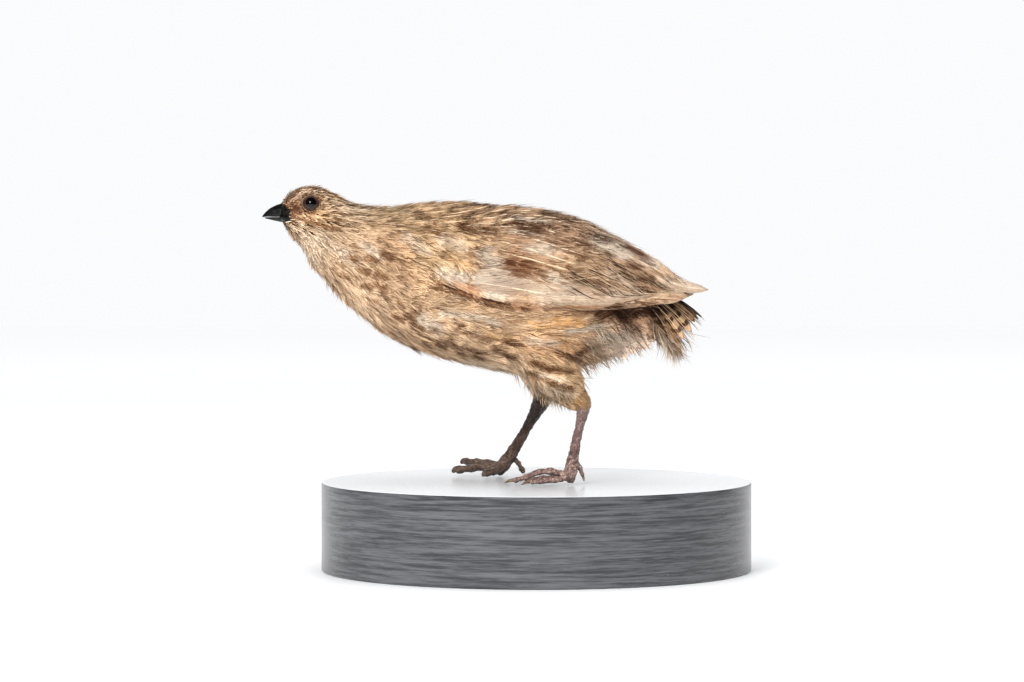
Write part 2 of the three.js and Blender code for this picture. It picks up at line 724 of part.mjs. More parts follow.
for (const [name, side] of [
  ["left", -1],
  ["right", 1],
]) {
  place("eye_" + name, eyeBall(side), GLASS);
  place("wing_" + name, wing(side, trunkGrown), PLUMAGE);
  const thighForm = { sides: 16, face: FORWARD };
  const thighGrown = tube(THIGHS[name], { ...thighForm, margin: GAP });
  place("thigh_" + name, tube(THIGHS[name], thighForm).subtract(trunkGrown), PLUMAGE);
  const skin = side < 0 ? PINK_SKIN : DARK_SKIN;
  const shankForm = { face: FORWARD, scutes: SCUTES };
  place("shank_" + name, tube(SHANKS[name], shankForm).subtract(thighGrown), skin);
  const taken = [tube(SHANKS[name], { ...shankForm, margin: GAP })];
  for (const [toeName, layout] of Object.entries(TOES[name])) {
    const face = toeName === "hind" ? FORWARD : UP;
    const toeForm = { sides: TOE_SIDES, face };
    const toe = tube(toeStops(layout), toeForm);
    const toeGrown = tube(toeStops(layout), { ...toeForm, margin: GAP });
    const claw = tube(clawStops(layout), { sides: CLAW_SIDES, face, steps: 1 });
    place(`toe_${toeName}_${name}`, cutBy(toe, ...taken), skin);
    place(`claw_${toeName}_${name}`, claw.subtract(toeGrown), CLAW_HORN);
    taken.push(toeGrown);
  }
}

place("tail", tail(trunkGrown), DARK_PLUMAGE);

export default bird;
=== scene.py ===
"""A life-size coturnix quail mounted on a round base: skin, plumage, eyes, bill, feet and base."""
import math

import bmesh
import bpy
import numpy as np
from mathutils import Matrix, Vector, noise
from mathutils.bvhtree import BVHTree
from mathutils.kdtree import KDTree


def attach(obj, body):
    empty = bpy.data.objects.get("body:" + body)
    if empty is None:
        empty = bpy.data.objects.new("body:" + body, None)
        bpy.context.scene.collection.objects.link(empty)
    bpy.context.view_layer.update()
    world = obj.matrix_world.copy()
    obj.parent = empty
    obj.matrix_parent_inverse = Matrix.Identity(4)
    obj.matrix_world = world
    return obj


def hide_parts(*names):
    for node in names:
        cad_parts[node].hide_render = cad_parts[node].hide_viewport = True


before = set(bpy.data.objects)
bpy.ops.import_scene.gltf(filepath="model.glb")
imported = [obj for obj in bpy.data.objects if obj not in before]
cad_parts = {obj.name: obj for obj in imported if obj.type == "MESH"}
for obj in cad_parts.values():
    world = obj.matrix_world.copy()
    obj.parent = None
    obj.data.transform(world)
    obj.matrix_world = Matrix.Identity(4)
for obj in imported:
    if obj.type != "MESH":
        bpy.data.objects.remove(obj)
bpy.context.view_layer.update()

MM = 0.001
SIDES = {"left": -1, "right": 1}
rng = np.random.default_rng(20)

EYE_AT = np.array([-76.05, 6.35, 124.0])
EYE_RADIUS = 3.15
EYE_LOOK = np.array([0.02, 1.0, 0.26])
EYE_LOOK /= np.linalg.norm(EYE_LOOK)
UP = np.array([0, 0, 1.0])


# Small helpers for meshes

def deselect():
    bpy.ops.object.select_all(action="DESELECT")


def focus(piece):
    deselect()
    piece.select_set(True)
    bpy.context.view_layer.objects.active = piece


def apply_modifiers(piece):
    focus(piece)
    for modifier in list(piece.modifiers):
        bpy.ops.object.modifier_apply(modifier=modifier.name)


def linked(name, data):
    """A new object that holds the data, in the scene."""
    made = bpy.data.objects.new(name, data)
    bpy.context.scene.collection.objects.link(made)
    return made


def quad_piece(name, vertices, quads):
    """A new object from a large array of faces of four corners, or of three with the last one repeated."""
    mesh = bpy.data.meshes.new(name)
    quads = np.asarray(quads, np.int32)
    triangle = quads[:, 2] == quads[:, 3]
    sizes = np.where(triangle, 3, 4).astype(np.int32)
    starts = np.concatenate([[0], np.cumsum(sizes)[:-1]]).astype(np.int32)
    keep = np.ones(quads.shape, bool)
    keep[triangle, 3] = False
    corners = quads[keep]
    mesh.vertices.add(len(vertices))
    mesh.vertices.foreach_set("co", (np.asarray(vertices, np.float32) * MM).ravel())
    mesh.loops.add(len(corners))
    mesh.loops.foreach_set("vertex_index", corners)
    mesh.polygons.add(len(quads))
    mesh.polygons.foreach_set("loop_start", starts)
    mesh.polygons.foreach_set("loop_total", sizes)
    mesh.update(calc_edges=True)
    mesh.validate()
    return linked(name, mesh)


def merged_copy(name, nodes):
    """One mesh from copies of CAD nodes, with their loose triangles merged."""
    joined = bmesh.new()
    for node in nodes:
        joined.from_mesh(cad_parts[node].data)
    bmesh.ops.remove_doubles(joined, verts=joined.verts, dist=1e-6)
    mesh = bpy.data.meshes.new(name)
    joined.to_mesh(mesh)
    joined.free()
    return linked(name, mesh)


def read_off(items, key, width=1, kind=np.float32):
    """One measure of every item of a mesh, as an array."""
    values = np.empty(len(items) * width, kind)
    items.foreach_get(key, values)
    return values.reshape(-1, width) if width > 1 else values


def points_of(piece):
    return read_off(piece.data.vertices, "co", 3) / MM


def normals_of(piece):
    return read_off(piece.data.vertices, "normal", 3)


def corners_of(mesh):
    return read_off(mesh.loops, "vertex_index", kind=np.int32)


def move_points(piece, points):
    piece.data.vertices.foreach_set("co", (points * MM).astype(np.float32).ravel())
    piece.data.update()


def smooth_faces(mesh):
    mesh.polygons.foreach_set("use_smooth", np.ones(len(mesh.polygons), bool))


def colour_layer(mesh, name, rows):
    layer = mesh.color_attributes.new(name, "FLOAT_COLOR", "POINT")
    layer.data.foreach_set("color", np.asarray(rows, np.float32).ravel())


def uv_layer(mesh, name, places):
    mesh.uv_layers.new(name=name).data.foreach_set("uv", places.astype(np.float32).ravel())


def finished(piece, finish, slot, *nodes):
    """The piece with its material, riding on the root and, if nodes are named, shown in their place."""
    piece.data.materials.append(finish)
    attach(piece, "root")
    if nodes:
        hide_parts(*nodes)
    return piece


# Small helpers for numbers

def unit(vectors):
    vectors = np.asarray(vectors, float)
    return vectors / np.maximum(np.linalg.norm(vectors, axis=-1, keepdims=True), 1e-9)


def ramp(value, width):
    """0 where the value is negative, 1 where it passes the width, and a straight rise between."""
    return np.clip(value / width, 0, 1)


def circle(count):
    """Angles spread evenly round a circle, in radians."""
    return np.linspace(0, 2 * math.pi, count, endpoint=False)


def lookup(table, at):
    """The second numbers of a table's rows, read off at places among the first ones."""
    return np.interp(at, *zip(*table))


def turned(vectors, axis, way=1):
    """The vectors, reversed where they point against the way along an axis."""
    return np.where((vectors[..., axis] * way < 0)[..., None], -vectors, vectors)


def point_tree(points):
    tree = KDTree(len(points))
    for i, point in enumerate(points):
        tree.insert(point, i)
    tree.balance()
    return tree


def linear(*colour):
    """A screen colour from 0 to 255 as the linear colour that materials take."""
    shares = (part / 255 for part in colour)
    return tuple(c / 12.92 if c <= 0.04045 else ((c + 0.055) / 1.055) ** 2.4 for c in shares)


# Materials: shader maths as expressions

def maths(operation):
    """One operation of the maths node, as a way to combine sockets."""

    def result(value, *others):
        return value.finish.node("ShaderNodeMath", {"operation": operation}, dict(enumerate([value, *others])))

    return result


class Value:
    """A socket of a material that can be used in sums like a number."""

    def __init__(self, finish, socket):
        self.finish = finish
        self.socket = socket

    __add__ = __radd__ = maths("ADD")
    __sub__ = maths("SUBTRACT")
    __mul__ = __rmul__ = maths("MULTIPLY")
    __truediv__ = maths("DIVIDE")
    sine, size, most, least = maths("SINE"), maths("ABSOLUTE"), maths("MAXIMUM"), maths("MINIMUM")

    def __rsub__(self, other):
        return self.finish.node("ShaderNodeMath", {"operation": "SUBTRACT"}, {0: other, 1: self})

    def step(self, low, high):
        """0 below low, 1 above high, smooth between; falls instead if low is the higher."""
        settings = {"interpolation_type": "SMOOTHSTEP"}
        return self.finish.node("ShaderNodeMapRange", settings, {0: self, 1: low, 2: high})

    def part(self, index):
        """One channel of a vector or colour."""
        return self.finish.node("ShaderNodeSeparateXYZ", {}, {0: self}, index)


SURFACE_INPUTS = {
    "colour": "Base Color", "roughness": "Roughness", "normal": "Normal", "specular": "Specular IOR Level",
    "coat": "Coat Weight", "coat_roughness": "Coat Roughness", "glow": "Emission Color",
    "glow_strength": "Emission Strength",
}


class Finish:
    """A material being built."""

    def __init__(self, name):
        self.material = bpy.data.materials.new(name)
        self.material.use_nodes = True
        self.tree = self.material.node_tree
        self.tree.nodes.clear()

    def node(self, kind, settings, inputs, output=0):
        made = self.tree.nodes.new(kind)
        for key, setting in settings.items():
            setattr(made, key, setting)
        for key, value in inputs.items():
            if isinstance(value, Value):
                self.tree.links.new(value.socket, made.inputs[key])
            elif isinstance(value, (tuple, list)) and len(value) == 3 and made.inputs[key].type == "RGBA":
                made.inputs[key].default_value = (*value, 1)
            else:
                made.inputs[key].default_value = value
        return made if output is None else Value(self, made.outputs[output])

    def attribute(self, name, output="Color"):
        return self.node("ShaderNodeAttribute", {"attribute_name": name}, {}, output)

    def place(self):
        return self.node("ShaderNodeTexCoord", {}, {}, "Object")

    def stretch(self, at, scale):
        return self.node("ShaderNodeMapping", {}, {"Vector": at, "Scale": scale})

    def noise(self, at, scale, detail=3.0, roughness=0.55):
        inputs = {"Vector": at, "Scale": scale, "Detail": detail, "Roughness": roughness}
        return self.node("ShaderNodeTexNoise", {}, inputs)

    def line_noise(self, at, detail):
        """Noise along one number."""
        inputs = {"W": at, "Scale": 1.0, "Detail": detail}
        return self.node("ShaderNodeTexNoise", {"noise_dimensions": "1D"}, inputs)

    def mix(self, amount, first, second, blend="MIX"):
        settings = {"data_type": "RGBA", "blend_type": blend}
        return self.node("ShaderNodeMix", settings, {0: amount, 6: first, 7: second}, 2)

    def shade(self, colour, amount):
        """The colour made lighter or darker by a factor."""
        return self.node("ShaderNodeVectorMath", {"operation": "SCALE"}, {0: colour, "Scale": amount})

    def bump(self, height, distance, strength):
        return self.node("ShaderNodeBump", {}, {"Height": height, "Distance": distance, "Strength": strength})

    def surface(self, **inputs):
        shader = self.node("ShaderNodeBsdfPrincipled", {}, {SURFACE_INPUTS[k]: v for k, v in inputs.items()})
        return self.shown(shader)

    def shown(self, shader):
        self.node("ShaderNodeOutputMaterial", {}, {"Surface": shader}, None)
        return self.material


PALE_SHAFT = linear(238, 216, 184)
WARMER = (1.0, 0.93, 0.85)
LONGEST_FEATHER = 40.0  # millimetres; the colour layers hold lengths as shares of it


def feather_finish(name, barb_lean=0.46, dark_slits=0.5, roughness=0.6):
    """A feather's vane: barbs, bars, spots, dark webs beside a pale shaft, and a pale fringe."""
    finish = Finish(name)
    vane = finish.node("ShaderNodeUVMap", {"uv_map": "Vane"}, {})
    signed = vane.part(0) * 2.0 - 1.0
    across = signed.size()
    along = vane.part(1)
    ground = finish.attribute("ground")
    mark_and_shadow = finish.attribute("ground", "Alpha")
    mark = finish.attribute("mark")
    pattern = finish.attribute("pattern")
    bars, spot, streak = pattern.part(0), pattern.part(1), pattern.part(2)
    length = finish.attribute("pattern", "Alpha") * LONGEST_FEATHER
    trait = finish.attribute("trait")
    shaft, chance, mottle = trait.part(0), trait.part(1), trait.part(2)
    place = finish.place()
    fine = finish.noise(place, 900.0, 2.0)
    broad = finish.noise(place, 240.0, 3.0)
    side = signed.step(-0.02, 0.02)
    barb = (along - across * barb_lean) * length + chance * 70.0 + side * 31.0
    strand = finish.line_noise(barb * 1.3, 1.0).step(0.3, 0.7)
    clump = finish.line_noise(barb * 0.5, 0.0)
    wobble = (broad - 0.5) * 4.0
    barring = (along * length * 1.9 + across * 1.2 + chance * 6.3 + wobble).sine().step(-0.05, 0.5)
    barring = barring * along.step(0.15, 0.3) * bars
    reach = (along - 0.8) * 4.2
    blotch = (reach * reach + across * across * 0.8 + (broad - 0.5) * 1.8).step(0.95, 0.3) * spot
    webs = across.step(0.08, 0.28) * across.step(1.02, 0.8) * along.step(0.12, 0.4) * along.step(1.0, 0.93)
    webs = webs * (broad + strand * 0.2).step(0.5, 0.75) * streak
    speck = (broad * 0.7 + strand * 0.2).step(0.48, 0.6) * mottle
    # Single markings and the painted shadow under the wing's lower edge, read from the ground colour's alpha.
    single = (mark_and_shadow + (strand - 0.5) * 0.85 + (broad - 0.5) * 0.8).step(0.36, 0.52) * mark_and_shadow.step(0.0, 0.3)
    dark = barring.most(blotch).most(webs).most(speck * 0.7).most(single)
    colour = finish.mix(dark, ground, mark)
    fringe = across.step(0.62, 1.0).most(along.step(0.9, 1.0)) * 0.35
    colour = finish.mix(fringe, colour, finish.shade(ground, 1.15))
    slit = clump.step(0.46, 0.3) * across.step(0.1, 0.45) * dark_slits
    # Painted shade: each feather darker towards its root, where the feather above overlaps it, and lighter
    # towards its tip.
    edge = along.step(0.45, 0.97)
    tone = (0.68 + strand * 0.58) * (1.0 - slit) * (0.82 + fine * 0.36) * (0.8 + edge * 0.34)
    colour = finish.shade(colour, tone)
    warm = finish.node("ShaderNodeVectorMath", {"operation": "MULTIPLY"}, {0: colour, 1: WARMER})
    colour = finish.mix((1.06 - tone).step(0.0, 0.5), colour, warm)
    wide = shaft * 0.07 + 0.03
    stem = (across / wide).step(1.0, 0.4) * along.step(0.97, 0.8) * along.step(0.04, 0.2) * shaft.least(1.0)
    colour = finish.mix(stem, colour, PALE_SHAFT)
    height = strand - slit + stem * 1.2
    return finish.surface(colour=colour, roughness=roughness, specular=0.14,
                          normal=finish.bump(height, 0.00015, 0.6))


# The body's own axis, in millimetres: x, z and the lean of the section's top towards the tail, in degrees.
AXIS = np.array([
    (-88, 120.6, -4), (-83.4, 121.2, 6), (-77.5, 119.6, 15), (-70.4, 114.1, 24), (-60.1, 108, 21.4),
    (-43.7, 101.8, 13.9), (-19.7, 96.9, 7.8), (7.5, 91.7, 1), (29.2, 90.4, -2.6), (41.3, 88.2, -6),
    (52, 86, -8),
])
AXIS_STEPS = 240
AT_ONCE = 20000  # points in one block of the search
_share = np.linspace(0, 1, AXIS_STEPS)
_lengths = np.concatenate([[0], np.cumsum(np.hypot(*np.diff(AXIS[:, :2], axis=0).T))])
_stations = np.column_stack([np.interp(_share * _lengths[-1], _lengths, AXIS[:, k]) for k in range(3)])
AXIS_POINTS = np.column_stack([_stations[:, 0], np.zeros(AXIS_STEPS), _stations[:, 1]])
_lean = np.radians(_stations[:, 2])
AXIS_UP = np.column_stack([np.sin(_lean), np.zeros(AXIS_STEPS), np.cos(_lean)])
AXIS_BACK = np.column_stack([np.cos(_lean), np.zeros(AXIS_STEPS), -np.sin(_lean)])


def body_place(points):
    """Where points lie on the body: share of its length from the bill, angle from the top, nearest station."""
    nearest = np.empty(len(points), int)
    for start in range(0, len(points), AT_ONCE):
        block = points[start:start + AT_ONCE]
        ahead = block @ AXIS_BACK.T - (AXIS_POINTS * AXIS_BACK).sum(1)
        far = np.hypot(block[:, None, 0] - AXIS_POINTS[None, :, 0], block[:, None, 1])
        nearest[start:start + AT_ONCE] = np.argmin(np.abs(ahead) + 0.02 * far, axis=1)
    offset = points - AXIS_POINTS[nearest]
    height = (offset * AXIS_UP[nearest]).sum(1)
    return nearest / (AXIS_STEPS - 1), np.arctan2(offset[:, 1], height), nearest


# The plumage, zone by zone, seen from the side. Each row: x and z of its middle, its two reaches, all in
# millimetres; the ground colour and the mark colour; mottle, bars, spot, streak and shaft from 0 to 1;
# the feathers' length, width and lift in millimetres; the turn of their lie downwards, in degrees.
MOTTLE, BARS, SPOT, STREAK, SHAFT, LENGTH, WIDTH, LIFT, TURN = range(9)
BODY_ZONES = [
    (-82.5, 127.5, 4, 3, (204, 172, 144), (112, 80, 54), 0.4, 0, 0.04, 0.2, 0.1, 2.6, 1, 0.6, 0),
    (-74, 129.6, 8, 3, (228, 196, 166), (122, 90, 62), 0.36, 0, 0.08, 0.3, 0.1, 3, 1.2, 0.7, 0),
    (-82, 122.6, 3.5, 2.6, (192, 142, 104), (86, 48, 26), 0.64, 0, 0, 0.2, 0, 2, 0.8, 0.5, 0),
    (-72, 119, 6, 4, (226, 184, 138), (138, 92, 54), 0.36, 0.14, 0, 0.2, 0.1, 3.2, 1.2, 0.6, 0),
    (-69, 124.4, 5, 3.5, (230, 194, 154), (146, 106, 72), 0.3, 0.09, 0, 0.2, 0.1, 3.2, 1.2, 0.6, 0),
    (-82, 114, 5, 5, (246, 214, 180), (208, 164, 126), 0.1, 0, 0, 0.1, 0, 3.2, 1.1, 0.5, 6),
    (-76.5, 108.6, 6, 6, (242, 218, 188), (196, 160, 124), 0.1, 0, 0, 0.1, 0.1, 4.4, 1.5, 0.65, 4),
    (-63, 122.6, 7, 4, (226, 202, 172), (130, 104, 78), 0.36, 0, 0.08, 0.4, 0.2, 6.1, 2.4, 1, 0),
    (-62, 114, 9, 8, (198, 168, 136), (136, 100, 70), 0.24, 0, 0.04, 0.2, 0.4, 8.1, 3, 1.3, 4),
    (-64, 102, 9, 9, (214, 182, 148), (148, 108, 72), 0.3, 0, 0.08, 0.2, 0.4, 8.5, 3.2, 1.4, 4),
    (-49, 108, 8, 9, (196, 160, 124), (104, 68, 42), 0.3, 0.09, 0.24, 0.2, 0.5, 9.8, 3.5, 1.5, 18),
    (-58, 90, 9, 9, (222, 192, 160), (146, 104, 68), 0.22, 0, 0.16, 0.1, 0.4, 9.8, 3.5, 1.5, 2),
    (-46, 83, 9, 8, (202, 168, 134), (108, 70, 44), 0.26, 0.05, 0.32, 0.1, 0.4, 10.4, 3.8, 1.6, 4),
    (-34, 90, 10, 7, (208, 174, 138), (116, 78, 48), 0.2, 0.05, 0.24, 0.2, 0.6, 11.6, 4.1, 1.7, -8),
    (-24, 77.5, 12, 6, (222, 188, 150), (84, 52, 32), 0.22, 0.14, 0.4, 0.1, 0.5, 11.6, 4.1, 1.7, -6),
    (-10, 84, 12, 6, (208, 172, 136), (108, 70, 44), 0.2, 0.09, 0.2, 0.2, 0.8, 14.6, 4.3, 1.8, -4),
    (4, 83, 9, 4.5, (226, 186, 144), (136, 92, 56), 0.1, 0.09, 0.08, 0.1, 0.9, 14.6, 4.6, 1.9, -4),
    (17, 82, 8, 6, (178, 142, 108), (84, 52, 32), 0.28, 0.32, 0.08, 0.2, 0.6, 14.6, 4.3, 1.9, 0),
    (-6, 68, 16, 5, (230, 200, 166), (112, 74, 44), 0.22, 0.14, 0.24, 0.1, 0.3, 11, 4.1, 1.7, 4),
    (8, 74, 9, 7, (202, 158, 114), (78, 44, 22), 0.22, 0.2, 0.04, 0.2, 0.4, 12.2, 4.1, 1.6, 24),
    (11.5, 62.5, 6, 6, (206, 172, 134), (108, 72, 44), 0.3, 0.1, 0, 0.1, 0.2, 7.9, 2.7, 1, 42),
    (25, 78, 7, 5, (240, 212, 184), (150, 112, 82), 0.16, 0.14, 0, 0.1, 0.2, 12.2, 3.5, 1.8, 14),
    (36, 83.5, 7, 4.5, (182, 146, 116), (92, 62, 42), 0.3, 0.18, 0, 0.1, 0.1, 10.2, 3.2, 1.6, 30),
    # Dark band just under the wing's lower edge: partly the brown fluff there, partly painted shadow cast by
    # the wing.
    (31, 89.5, 9, 3.2, (104, 70, 46), (48, 28, 18), 0.4, 0.2, 0, 0.1, 0.1, 10.2, 3.2, 1.4, 20),
    (33, 76.5, 8, 3.2, (250, 234, 218), (206, 176, 152), 0.12, 0.1, 0, 0.1, 0.1, 9, 3.2, 1.8, 34),
    (-46, 121, 10, 5, (194, 166, 130), (112, 80, 52), 0.38, 0.09, 0.12, 0.4, 0.6, 9.8, 3.8, 1.5, 4),
    (-29, 121, 10, 6, (190, 156, 118), (88, 56, 34), 0.45, 0.14, 0.12, 0.6, 0.8, 12.2, 4.3, 1.7, 6),
    (-32, 108, 10, 7, (202, 168, 128), (120, 82, 50), 0.3, 0.14, 0.12, 0.2, 0.7, 11, 4.1, 1.7, 22),
    (-8, 121, 10, 6, (180, 146, 114), (74, 46, 28), 0.45, 0.18, 0.08, 0.8, 1, 14.6, 4.9, 1.8, 8),
    (10, 117, 9, 5, (166, 132, 102), (70, 42, 26), 0.45, 0.18, 0.08, 0.8, 1, 15.9, 4.9, 1.8, 6),
    (28, 110, 9, 6, (190, 164, 138), (90, 62, 44), 0.4, 0.14, 0, 0.6, 0.9, 15.9, 4.6, 1.6, 6),
]
WING_ZONES = [
    (-19, 112, 9, 6, (184, 153, 122), (116, 80, 50), 0.32, 0.15, 0.12, 0.3, 0.6, 9.2, 3.4, 1.05, 8),
    (3, 110.2, 9, 5, (188, 156, 128), (98, 64, 38), 0.4, 0.2, 0.08, 0.5, 0.9, 12.6, 3.9, 1.4, 12),
    (-4.5, 104.6, 7, 3.2, (190, 146, 108), (86, 42, 20), 0.4, 0.5, 0.08, 0.6, 0.8, 10.3, 3.9, 1.33, 14),
    (-19, 100.4, 10, 3.4, (182, 163, 146), (136, 98, 68), 0.26, 0, 0, 0.1, 0.4, 6.9, 2.8, 0.84, 6),
    (10, 92.4, 14, 3, (182, 160, 138), (140, 102, 72), 0.16, 0, 0, 0.2, 0.5, 9.2, 3, 0.84, 2),
    (-24, 95.8, 4, 1.4, (196, 148, 108), (142, 92, 58), 0.16, 0, 0, 0.1, 0.2, 5.2, 2.2, 0.7, 6),
    (-5, 91.4, 4.5, 1.3, (190, 144, 102), (134, 86, 52), 0.16, 0, 0, 0.1, 0.3, 6.9, 2.5, 0.77, 4),
    (14, 102, 9, 5, (198, 166, 132), (112, 76, 46), 0.4, 0.15, 0.04, 0.6, 1, 12.6, 3.7, 1.4, 18),
    (27, 99, 9, 5, (206, 172, 140), (104, 70, 46), 0.34, 0.15, 0, 0.6, 1, 13.8, 3.7, 1.26, 22),
    (40, 98.5, 7, 4, (214, 180, 148), (104, 70, 46), 0.32, 0.1, 0, 0.7, 1, 13.8, 3.7, 1.12, 20),
    (53, 95.6, 7, 1.9, (180, 160, 136), (142, 112, 86), 0.16, 0, 0, 0.1, 0.6, 11.5, 3.4, 0.98, 10),
    (-12, 120.5, 10, 5, (180, 148, 116), (76, 46, 28), 0.48, 0.2, 0.08, 0.9, 1, 14.9, 4.4, 1.54, 10),
    (8, 116.5, 9, 5, (168, 134, 104), (70, 42, 26), 0.48, 0.25, 0.08, 0.9, 1, 16.1, 4.4, 1.54, 10),
    (24, 109.5, 8, 5, (190, 158, 130), (78, 50, 34), 0.42, 0.2, 0.04, 0.8, 1, 16.1, 4.1, 1.47, 14),
    (-29, 108, 6, 6, (190, 158, 126), (124, 86, 54), 0.24, 0.1, 0.12, 0.2, 0.6, 6.9, 2.8, 0.91, 6),
]
TAIL_ZONES = [
    (44, 91.2, 9, 5, (46, 29, 18), (28, 15, 8), 0.3, 0.5, 0, 0.3, 0.5, 9, 3, 1.6, 10),
    (52, 87, 5, 4, (60, 38, 24), (28, 15, 8), 0.3, 0.6, 0, 0.4, 0.6, 9, 3, 1.6, 10),
    (46, 84, 6, 3.6, (206, 168, 126), (62, 38, 24), 0.3, 1, 0, 0.2, 0.8, 9, 3, 1.6, 10),
    (50, 78, 5, 4, (214, 178, 144), (112, 76, 50), 0.3, 0.8, 0, 0.1, 0.6, 9, 3, 1.6, 10),
    (40, 80, 6, 4, (160, 126, 94), (84, 56, 36), 0.4, 0.4, 0, 0.1, 0.3, 9, 3, 1.6, 10),
    (50, 72.5, 6, 4, (212, 180, 150), (150, 112, 84), 0.3, 0.2, 0, 0.1, 0.3, 9, 3, 1.6, 10),
]


